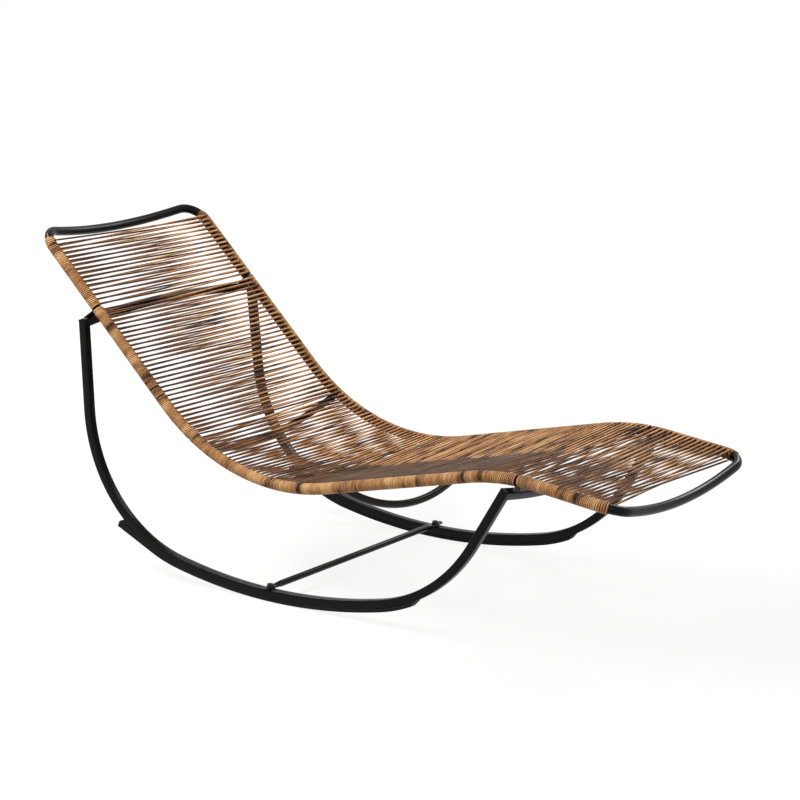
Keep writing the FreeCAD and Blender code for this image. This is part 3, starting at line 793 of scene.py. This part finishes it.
class CHAISE_OT_finishes(bpy.types.Operator):
    """Give every carried-over CAD node its finish"""

    bl_idname = "chaise.finishes"
    bl_label = "Finishes of the frame"

    def execute(self, context):
        slots = {row["node"]: row["material_slot"] for row in frame["record"]["subparts"]}
        for name, node in frame["nodes"].items():
            for slot_of_node in node.material_slots:
                slot_of_node.material = material(slots[name])
        return {"FINISHED"}


class CHAISE_OT_round_tubes(bpy.types.Operator):
    """Build the rails, the head and foot tubes and the two bow tubes"""

    bl_idname = "chaise.round_tubes"
    bl_label = "Round tubes"

    RAIL_SIDES = 32
    RAIL_STEP = 0.012
    BOW_SIDES = 28
    BOW_STEPS = 40

    def execute(self, context):
        seat = settings("seat_frame")
        rail = rail_course(seat)
        head, foot = ends = frame_ends(rail)
        half = seat.spacing / 2
        section = oval_section(seat.tube / 2, seat.tube / 2, self.RAIL_SIDES)
        wound = stops(head.inset, rail.length() - foot.inset, self.RAIL_STEP)
        for name, side in SIDES.items():
            line = [(rail.point(stop, side * half), rail.direction(stop)) for stop in wound]
            self.tube("seat_rail_" + name, line, ACROSS, section)
        for end in ends:
            self.tube(end.name + "_tube", end.tube_line(rail), ACROSS, section)
        section = oval_section(seat.hanger_tube / 2, seat.hanger_tube / 2, self.BOW_SIDES)
        for name, along, depth in (("lumbar_bow_tube", seat.lumbar_hanger, seat.lumbar_depth),
                                   ("seat_bow_tube", seat.seat_hanger, seat.seat_depth)):
            line = arc_line(rail.point(along, -half), rail.point(along, 0.0, -depth),
                            rail.point(along, half), self.BOW_STEPS)
            self.tube(name, line, rail.direction(along), section)
        return {"FINISHED"}

    def tube(self, name, line, across, section):
        builder = Builder(name + "_bent")
        builder.rings(swept(carried_frames(line, across), section))
        builder.finish("frame", [name])


def weld_bead(builder, ring, radius=0.0009, sides=8):
    """A low bead along a closed outline."""
    centre = sum(ring, Vector()) / len(ring)
    turns = [2 * math.pi * corner / sides for corner in range(sides)]
    rings = []
    for number, point in enumerate(ring):
        heading = (ring[(number + 1) % len(ring)] - ring[number - 1]).normalized()
        outward = (point - centre).normalized()
        outward = (outward - heading * outward.dot(heading)).normalized()
        side = heading.cross(outward)
        rings.append([point + outward * (radius * math.cos(turn))
                      + side * (radius * math.sin(turn)) for turn in turns])
    builder.rings(rings, closed=True)


class CHAISE_OT_runners(bpy.types.Operator):
    """Build the rockers and cross tubes with rounded corners and weld beads"""

    bl_idname = "chaise.runners"
    bl_label = "Rockers and cross tubes"

    ROCKER_STEP = 0.010

    def execute(self, context):
        runner = settings("runners")
        section = rounded_square(runner.tube / 2, runner.tube / 2, runner.corner)
        course = rocker_course()
        total = course.length()
        crosses = {"rear_cross_tube": rear_cross(), "front_cross_tube": front_cross()}
        for name, side in SIDES.items():
            lean = Lean(side)
            y = side * runner.spacing / 2
            frames = [(course.point(stop, y), course.direction(stop), ACROSS, course.upward(stop))
                      for stop in stops(0.0, total, self.ROCKER_STEP)]
            rings = [[lean.place(point) for point in ring] for ring in swept(frames, section)]
            for number, along, cross in zip((0, -1), (0.0, total), crosses.values()):
                heading = lean.way(course.direction(along))
                rings[number] = mitred(rings[number], heading, *cross.mitre(side))
            builder = Builder("rocker_" + name + "_bent")
            builder.rings(rings)
            weld_bead(builder, rings[0])
            weld_bead(builder, rings[-1])
            builder.finish("frame", ["rocker_" + name])
        for name, cross in crosses.items():
            frames = cross.frames()
            rings = swept(frames, section)
            for number, side in ((0, -1.0), (-1, 1.0)):
                rings[number] = mitred(rings[number], frames[number][1], *cross.mitre(side))
            builder = Builder(name + "_bent")
            builder.rings(rings)
            builder.finish("frame", [name])
        return {"FINISHED"}


class CHAISE_OT_glides(bpy.types.Operator):
    """Build the glides: softened edges, a slanted front end and a straight, thicker tail"""

    bl_idname = "chaise.glides"
    bl_label = "Glides"

    CORNER = 0.0012
    CORNER_STEPS = 3
    STEP = 0.008             # as a share of the strip's length

    def execute(self, context):
        runner = settings("runners")
        course = rocker_course()
        start = course.length(1) + runner.glide_start
        leave = course.length(1) + runner.glide_leave
        end = course.length(3) + runner.glide_end
        half = runner.glide / 2
        middle = -runner.tube / 2 - half
        section = rounded_square(runner.tube / 2, half, self.CORNER, self.CORNER_STEPS)
        for name, side in SIDES.items():
            lean = Lean(side)
            y = side * runner.spacing / 2
            rings = []
            for stop in stops(0.0, 1.0, self.STEP):
                ring = []
                for u, v in section:
                    slant = runner.glide_bevel * (half - v) / runner.glide
                    along = start + (end - start - slant) * stop
                    held = max(along, leave)
                    thicker = runner.glide_tail * (held - along) / (leave - start) if v > 0 else 0
                    place = course.point(held, y + u, middle + v + thicker)
                    place += course.direction(held) * (along - held)
                    ring.append(lean.place(place))
                rings.append(ring)
            builder = Builder("glide_strip_" + name + "_worn")
            builder.rings(rings)
            builder.finish("glide", ["glide_strip_" + name])
        return {"FINISHED"}


def gusset_stations():
    """Where the winding stops, along the rail, for the plates."""
    runner = settings("runners")
    return [runner.rear_cross - runner.plate_shift, runner.front_cross + runner.plate_shift]


class CHAISE_OT_gussets(bpy.types.Operator):
    """Build the small welded plates between rails and cross tubes"""

    bl_idname = "chaise.gussets"
    bl_label = "Gussets"

    BURIED = 0.006           # a plate starts this far below the rail's centre line
    EDGE = 0.0007            # softening of its edges
    SHARP = 30.0

    def execute(self, context):
        for end, cross, station in zip(("rear", "front"), (rear_cross(), front_cross()),
                                       gusset_stations()):
            for name, side in SIDES.items():
                self.plate(end + "_gusset_" + name, cross, station, side)
        return {"FINISHED"}

    def plate(self, name, cross, station, side):
        seat, runner = settings("seat_frame"), settings("runners")
        rail = rail_course(seat)
        away = rail.upward(station) * -1
        rail_y = seat.spacing / 2
        half = runner.plate_top / 2
        foot = half + runner.plate_foot

        def depth(beside):
            bow = cross.offset(rail_y + beside) - cross.offset(rail_y)
            return cross.drop + bow * cross.bow_direction.dot(away)

        shape = [(-half, self.BURIED), (half, self.BURIED), (half, seat.tube / 2),
                 (foot, depth(foot)), (-half, depth(-half))]
        origin = rail.point(station, side * rail_y)
        outline = [origin + ACROSS * (side * u) + away * v for u, v in shape]
        centre = sum(outline, Vector()) / len(outline)
        heading = rail.direction(station)
        flat = 0.5 - self.EDGE / runner.plate
        rings = [[point + (centre - point).normalized() * inset
                  + heading * (place * runner.plate) for point in outline]
                 for place, inset in ((-0.5, self.EDGE), (-flat, 0.0), (flat, 0.0),
                                      (0.5, self.EDGE))]
        builder = Builder(name + "_welded")
        builder.rings(rings)
        builder.finish("frame", [name], self.SHARP)


class CHAISE_OT_brace(bpy.types.Operator):
    """Build the brace with pressed ends, its washers and bolts"""

    bl_idname = "chaise.brace"
    bl_label = "Brace and bolts"

    SIDES_OF_TUBE = 32
    FLAT_INSIDE = 0.004      # flat length of an end inside the runner
    FULLNESS = 0.45          # how boxy the pressed end is
    TIP = ((0.0, 0.45), (0.0015, 0.66), (0.0045, 0.92), (0.008, 1.0))
    TAPER_STEPS = 8
    # Radius, height and how six-sided it is, from the inner face outwards.
    WASHER = ((0.0044, 0.0, 0.0), (0.0083, 0.0, 0.0), (0.0085, 0.0010, 0.0),
              (0.0081, 0.0016, 0.0), (0.0044, 0.0016, 0.0))
    HEAD = ((0.0062, 0.0016, 0.0), (0.0075, 0.0020, 1.0), (0.0075, 0.0057, 1.0),
            (0.0068, 0.0067, 0.55), (0.0058, 0.0071, 0.0), (0.0040, 0.0071, 0.0),
            (0.0036, 0.0066, 0.0))
    WASHER_SIDES = 36
    HEAD_SIDES = 48

    def execute(self, context):
        runner = settings("runners")
        turned = math.asin(runner.brace_at / runner.radius)
        self.forward = Vector((math.cos(turned), 0.0, math.sin(turned)))
        self.upward = Vector((-math.sin(turned), 0.0, math.cos(turned)))
        self.top = curve_centre(runner) - self.upward * (runner.radius - runner.tube / 2)
        self.tube(runner)
        self.pair("brace_washers", "_turned", self.WASHER, self.WASHER_SIDES, runner)
        self.pair("brace_bolts", "_forged", self.HEAD, self.HEAD_SIDES, runner)
        return {"FINISHED"}

    def profile(self, runner):
        """Place, half width, half height, fullness and levelling from an end to the middle."""
        inner_y = (runner.spacing - runner.tube) / 2 - self.FLAT_INSIDE
        end_y = (runner.spacing + runner.tube) / 2 + runner.tab_overhang
        width, height = runner.tab_width / 2, runner.tab / 2
        radius = runner.brace_tube / 2
        rows = [(end_y - back, width * part, height, self.FULLNESS, 0.0)
                for back, part in self.TIP]
        rows.append((inner_y, width, height, self.FULLNESS, 0.0))
        for number in range(1, self.TAPER_STEPS + 1):
            ease = number / self.TAPER_STEPS
            mix = ease * ease * (3 - 2 * ease)
            rows.append((inner_y - runner.taper * ease, width + (radius - width) * mix,
                         height + (radius - height) * mix,
                         self.FULLNESS + (1 - self.FULLNESS) * mix, ease))
        return inner_y, rows

    def tube(self, runner):
        """From one pressed end, leaning like the runner, over the level middle to the other."""
        inner_y, profile = self.profile(runner)
        centre = self.top + self.upward * (runner.nut_flange + runner.tab / 2)
        level = UP * (floor_lift(runner)
                      - (runner.spacing / 2 - inner_y) * math.sin(runner.splay))
        rings = []
        for side, rows in ((-1.0, profile), (1.0, profile[::-1])):
            lean = Lean(side)
            for y, width, height, fullness, levelled in rows:
                ring = []
                for u, v in oval_section(width, height, self.SIDES_OF_TUBE, fullness):
                    point = centre + ACROSS * (side * y) + self.forward * u + self.upward * v
                    ring.append(lean.place(point).lerp(point + level, levelled))
                rings.append(ring)
        builder = Builder("runner_brace_pressed")
        builder.rings(rings)
        builder.finish("frame", ["runner_brace"])

    def pair(self, name, ending, profile, corners, runner):
        """Both washers or both bolt heads, turned round their axes."""
        builder = Builder(name + ending)
        for side in SIDES.values():
            builder.rings([self.turned_ring(runner, side, corners, *row) for row in profile])
        builder.finish("fastener", [name])

    def turned_ring(self, runner, side, corners, radius, height, hexagon):
        """A ring round the bolt's axis, from round to six-sided."""
        lean = Lean(side)
        centre = self.top + ACROSS * (side * runner.spacing / 2)
        centre = centre + self.upward * (runner.nut_flange + runner.tab + height)
        sixth = math.pi / 6
        ring = []
        for corner in range(corners):
            turn = 2 * math.pi * corner / corners
            local = (turn + sixth) % (2 * sixth) - sixth
            reach = math.cos(sixth) / math.cos(local)
            reach = radius * (1.0 + (reach - 1.0) * hexagon)
            ring.append(lean.place(centre + self.forward * (reach * math.cos(turn))
                                   + ACROSS * (reach * math.sin(turn))))
        return ring


class Winding:
    """One strand laid in figures of eight over both rails, from head to foot.

    It comes to a rail from below, goes round it outwards and up, two and a half
    turns side by side, and leaves its top for the underside of the other rail.
    """

    SIDES_OF_STRAND = 10
    TURN_STEPS = 16
    SPAN_STEPS = 24
    PACKED = 0.975           # width of a turn as a share of its pitch
    PARTING = 2.625          # turns from an arrival to where the winding parts for a plate
    MAKES_WAY = 4            # pitches over which the turns shift towards that place
    WOBBLE = 0.00012         # most that the middle of a helix stands off the rail
    SIDE_BOW = 0.0011        # most that a span bows sideways
    TWIST = 0.4              # most that a span turns about its line, in radians
    ROUNDING = 0.020         # length in which a span rounds out from the flattened turn
    SHADED = 0.03            # length of a span under the rail that gets painted shade
    # strength of that painted shade under the rail
    SHADE = 0.6
    FAMILY = {"right": 3.0, "left": 7.0}     # keeps the patches of the two layers apart

    def __init__(self):
        self.seat = seat = settings("seat_frame")
        runner = settings("runners")
        self.winding = winding = settings("winding")
        self.rail = rail_course(seat)
        self.ends = frame_ends(self.rail)
        self.half = seat.spacing / 2
        self.radius = seat.tube / 2 + winding.thickness / 2
        self.gap = runner.plate + 2 * winding.clearance
        wound = self.rail.length() - 2 * self.gap
        self.turns_on_rail = winding.turns - 0.5
        spare = 0.5 + (self.turns_on_rail + 1) / winding.turns - 1
        self.count = int(wound / winding.pitch - spare)
        self.pitch = wound / (self.count + spare)
        self.turn = self.pitch / winding.turns
        self.slots = {name: self.find_slots(name) for name in SIDES}
        self.room = seat.hanger_tube / 2 + winding.clearance + winding.strand / 2
        self.luck = random.Random(winding.seed)

    def arrival(self, name, number):
        """Where the strand comes to a rail, counted along the winding alone."""
        return self.turn / 2 + (number + (0.5 if name == "left" else 0.0)) * self.pitch

    def find_slots(self, name):
        """Between which turns the winding parts for each plate, and how far it is moved."""
        slots = []
        first = self.PARTING * self.turn
        for number, station in enumerate(gusset_stations()):
            wanted = station - (number + 0.5) * self.gap
            step = round((wanted - self.arrival(name, 0) - first) / self.pitch)
            slot = self.arrival(name, step) + first
            slots.append((slot, wanted - slot))
        return slots

    def along(self, name, wound):
        """Length along the rail of a place in the winding."""
        reach = self.MAKES_WAY * self.pitch
        place = wound
        for slot, offset in self.slots[name]:
            place += offset * max(0.0, 1.0 - abs(wound - slot) / reach)
            place += self.gap if wound > slot else 0.0
        return place

    def aside(self, along):
        """How far a span's low end is moved to clear a bow tube."""
        for station in (self.seat.lumbar_hanger, self.seat.seat_hanger):
            if abs(along - station) < self.room:
                return station + math.copysign(self.room, along - station) - along
        return 0.0

    def section(self, free):
        """From the flattened turn to the rounder free strand."""
        winding = self.winding
        width = self.PACKED * self.turn * (1 - free) + winding.strand * free
        depth = winding.thickness * (1 - free) + winding.strand_depth * free
        return oval_section(width / 2, depth / 2, self.SIDES_OF_STRAND)

    def add(self, builder, rows):
        """Skins rows of a ring, the strand's run up to it, its patch and its painted shade."""
        builder.rings([row[0] for row in rows])
        sides = self.SIDES_OF_STRAND
        turns = [2 * math.pi * corner / sides for corner in range(sides)]
        for _, run, patch, tucked in rows:
            builder.marks["strand_place"] += [(run, math.cos(turn), math.sin(turn))
                                              for turn in turns]
            builder.marks["patch_place"] += [patch] * sides
            builder.marks["tucked"] += [tucked] * sides

    def helix(self, builder, name, first, turns, start_turn, run):
        """Turns on one rail, from a place in the winding."""
        side = SIDES[name]
        steps = round(self.TURN_STEPS * turns)
        section = self.section(0.0)
        low_shift = self.aside(self.along(name, first)) if start_turn < 0.0 else 0.0
        drift = self.luck.uniform(-1.0, 1.0)
        rows = []
        for number in range(steps + 1):
            turned = 2 * math.pi * turns * number / steps
            turn = start_turn + turned
            along = self.along(name, first + self.turn * turned / (2 * math.pi))
            along += low_shift * max(0.0, 1.0 - turned / (math.pi / 2))
            at = RailFrame(self.rail, self.ends, side, along)
            spoke = at.outward * math.cos(turn) + at.upward * math.sin(turn)
            lift = self.radius + self.WOBBLE * drift * math.sin(turned / turns)
            centre = at.centre + spoke * lift
            round_rail = (turn + math.pi / 2) % (2 * math.pi)
            # The last entry is painted shade: darker towards the rail's inner side, with the
            # crease shade turned on.
            rows.append(([centre + at.heading * u + spoke * v for u, v in section],
                         run + self.radius * turned,
                         (side * (self.half + self.radius * round_rail), along, 0.0),
                         (max(0.0, -math.cos(turn)) ** 0.5, 1.0, 0.0)))
        self.add(builder, rows)
        return run + self.radius * 2 * math.pi * turns

    def span(self, builder, name, number, run):
        """From the top of one rail to the underside of the other."""
        other = "left" if name == "right" else "right"
        leaving = self.arrival(name, number) + self.turns_on_rail * self.turn
        coming = self.arrival(other, number + (1 if name == "left" else 0))
        start_along = self.along(name, leaving)
        end_along = self.along(other, coming)
        end_along += self.aside(end_along)
        leaves = RailFrame(self.rail, self.ends, SIDES[name], start_along)
        comes = RailFrame(self.rail, self.ends, SIDES[other], end_along)
        start = leaves.centre + leaves.upward * self.radius
        end = comes.centre - comes.upward * self.radius
        heading = (end - start).normalized()
        sag = self.winding.sag * self.luck.uniform(0.0, 1.0)
        bow = self.luck.uniform(-self.SIDE_BOW, self.SIDE_BOW)
        lean = self.luck.uniform(-self.TWIST, self.TWIST)
        rows = []
        for step in range(self.SPAN_STEPS + 1):
            mix = step / self.SPAN_STEPS
            belly = 4 * mix * (1 - mix)
            along = start_along + (end_along - start_along) * mix
            across = self.rail.direction(along)
            place = start.lerp(end, mix) - UP * (sag * belly) + across * (bow * belly)
            edge = min(mix, 1 - mix) * 2 * self.half
            turn = lean * belly
            u_way = across * math.cos(turn) + self.rail.upward(along) * math.sin(turn)
            v_way = heading.cross(u_way).normalized()
            # The last entry is painted shade on the end of the span that comes under the other
            # rail.
            rows.append(([place + u_way * u + v_way * v
                          for u, v in self.section(min(1.0, edge / self.ROUNDING))],
                         run + mix * 2 * self.half, (place.y, along, self.FAMILY[name]),
                         (max(0.0, 1.0 - edge / self.SHADED) * mix * self.SHADE, 0.0, 0.0)))
        self.add(builder, rows)
        return run + 2 * self.half


class CHAISE_OT_winding(bpy.types.Operator):
    """Wind the strand over both rails: turns on each rail and spans between them"""

    bl_idname = "chaise.winding"
    bl_label = "Cane winding"

    ZONES = ("back", "lumbar", "seat", "knee", "foot")
    LAYERS = {"right": "upper", "left": "lower"}
    SHARP = 60.0

    def execute(self, context):
        winding = Winding()
        turns = {name: Builder("rail_turns_" + name) for name in SIDES}
        spans = {(zone, name): Builder(zone + "_strands_over_" + name)
                 for zone in self.ZONES for name in SIDES}
        bottom = -math.pi / 2
        half_pitch = winding.winding.turns / 2
        run = winding.helix(turns["left"], "left", winding.turn / 2, half_pitch,
                            bottom - 2 * math.pi * half_pitch, 0.0)
        for number in range(winding.count):
            for name in SIDES:
                first = winding.arrival(name, number)
                run = winding.helix(turns[name], name, first, winding.turns_on_rail, bottom, run)
                if name == "right" or number < winding.count - 1:
                    zone = self.zone(winding.rail, winding.along(name, first))
                    run = winding.span(spans[zone, name], name, number, run)
        last = winding.arrival("right", winding.count - 1) + winding.turns_on_rail * winding.turn
        winding.helix(turns["right"], "right", last, half_pitch, math.pi / 2, run)
        for name in SIDES:
            turns[name].finish("cane", ["rail_wrap_" + name], self.SHARP)
        for (zone, name), builder in spans.items():
            builder.finish("cane", [zone + "_strands_" + self.LAYERS[name]], self.SHARP)
        return {"FINISHED"}

    def zone(self, rail, along):
        """Which stretch of the side profile a place on the rail is in."""
        started = [zone for number, zone in enumerate(self.ZONES)
                   if rail.length(number) <= along + 1e-6]
        return started[-1]


class CHAISE_OT_stage(bpy.types.Operator):
    """Set the floor, the light and the camera"""

    bl_idname = "chaise.stage"
    bl_label = "Stage"

    FLOOR_REACH = 14.0
    SHADOW_FADES = (1.1, 2.2)    # from the middle of the footprint
    GLOW = 1.10              # brightness of the floor further out
    SURROUNDINGS = 0.34      # brightness of the world where the camera doesn't see it
    # Place, width and height, and watts of each lamp. All of them point at AIM.
    LAMPS = {
        "key": ((-2.2, -1.15, 3.0), (2.4, 0.30), 170.0),
        "fill": ((3.4, -2.6, 1.8), (1.6, 1.6), 14.0),
        "rim": ((0.6, 3.0, 2.8), (1.2, 1.2), 55.0),
    }
    AIM = (0.0, 0.0, 0.3)

    def execute(self, context):
        stage = settings("stage")
        self.floor(stage)
        self.lights()
        self.world(context)
        camera = placed("camera", bpy.data.cameras.new("camera"))
        camera.data.lens = stage.lens
        camera.data.sensor_width = 36.0
        camera.data.clip_end = 60.0
        camera.location = (stage.camera_x - footprint_shift(), stage.camera_y, stage.camera_z)
        camera.rotation_euler = (math.pi / 2 - stage.elevation, 0.0, stage.azimuth)
        context.scene.camera = camera
        context.scene.view_settings.view_transform = "Standard"
        return {"FINISHED"}

    def floor(self, stage):
        """A pale floor that keeps the shadow near the chaise and is white further out."""
        mesh = bpy.data.meshes.new("floor")
        reach = self.FLOOR_REACH
        corners = ((-1, -1), (1, -1), (1, 1), (-1, 1))
        mesh.from_pydata([(x * reach, y * reach, 0.0) for x, y in corners], [], [(0, 1, 2, 3)])
        shader = Shader(bpy.data.materials.new("studio floor"))
        seen = shader.rays("Camera", "Glossy", "Transmission")
        away = shader.add("ShaderNodeVectorMath", {"operation": "LENGTH"},
                          {0: shader.place()}, "Value")
        own = shader.remap(away, *self.SHADOW_FADES, stage.shadow, 0.0)
        lit = shader.add("ShaderNodeBsdfDiffuse", {}, {"Color": opaque(stage.floor)})
        glow = shader.add("ShaderNodeEmission", {}, {"Color": WHITE, "Strength": self.GLOW})
        mixed = shader.add("ShaderNodeMixShader", {}, {0: seen * (1.0 - own), 1: lit, 2: glow})
        mesh.materials.append(shader.finish(mixed))
        placed("studio_floor", mesh)

    def lights(self):
        for name, (place, size, power) in self.LAMPS.items():
            lamp = bpy.data.lights.new(name, "AREA")
            lamp.shape = "RECTANGLE"
            lamp.size, lamp.size_y = size
            lamp.energy = power
            piece = placed(name + "_light", lamp)
            piece.location = place
            aim = Vector(self.AIM) - Vector(place)
            piece.rotation_euler = aim.to_track_quat("-Z", "Y").to_euler()

    def world(self, context):
        """White where it is seen or mirrored, and dimmer as a light."""
        shader = Shader(bpy.data.worlds.new("studio"), "ShaderNodeOutputWorld")
        strength = shader.remap(shader.rays("Camera", "Glossy"), 0.0, 1.0,
                                self.SURROUNDINGS, 1.0)
        background = shader.add("ShaderNodeBackground", {}, {"Color": WHITE,
                                                             "Strength": strength})
        context.scene.world = shader.finish(background)


class CHAISE_PT_panel(bpy.types.Panel):
    """Lists the pieces of the chaise"""

    bl_label = "Rocking chaise"
    bl_idname = "CHAISE_PT_panel"
    bl_space_type = "VIEW_3D"
    bl_region_type = "UI"
    bl_category = "Chaise"

    def draw(self, context):
        for operator in OPERATORS:
            self.layout.operator(operator.bl_idname)
        for name, group in SETTINGS.items():
            box = self.layout.box()
            box.label(text=group.__doc__)
            for value in group.__annotations__:
                box.prop(getattr(context.scene, name), value)


OPERATORS = [CHAISE_OT_finishes, CHAISE_OT_round_tubes, CHAISE_OT_runners, CHAISE_OT_gussets,
             CHAISE_OT_glides, CHAISE_OT_brace, CHAISE_OT_winding, CHAISE_OT_stage]


def register():
    for group in SETTINGS.values():
        bpy.utils.register_class(group)
    for operator in OPERATORS:
        bpy.utils.register_class(operator)
    bpy.utils.register_class(CHAISE_PT_panel)
    for name, group in SETTINGS.items():
        setattr(bpy.types.Scene, name, PointerProperty(type=group))


def unregister():
    for name in SETTINGS:
        delattr(bpy.types.Scene, name)
    bpy.utils.unregister_class(CHAISE_PT_panel)
    for operator in reversed(OPERATORS):
        bpy.utils.unregister_class(operator)
    for group in reversed(list(SETTINGS.values())):
        bpy.utils.unregister_class(group)


def main():
    register()
    bpy.ops.chaise.finishes()
    bpy.ops.chaise.round_tubes()
    bpy.ops.chaise.runners()
    bpy.ops.chaise.gussets()
    bpy.ops.chaise.glides()
    bpy.ops.chaise.brace()
    bpy.ops.chaise.winding()
    bpy.ops.chaise.stage()


if __name__ == "__main__":
    main()
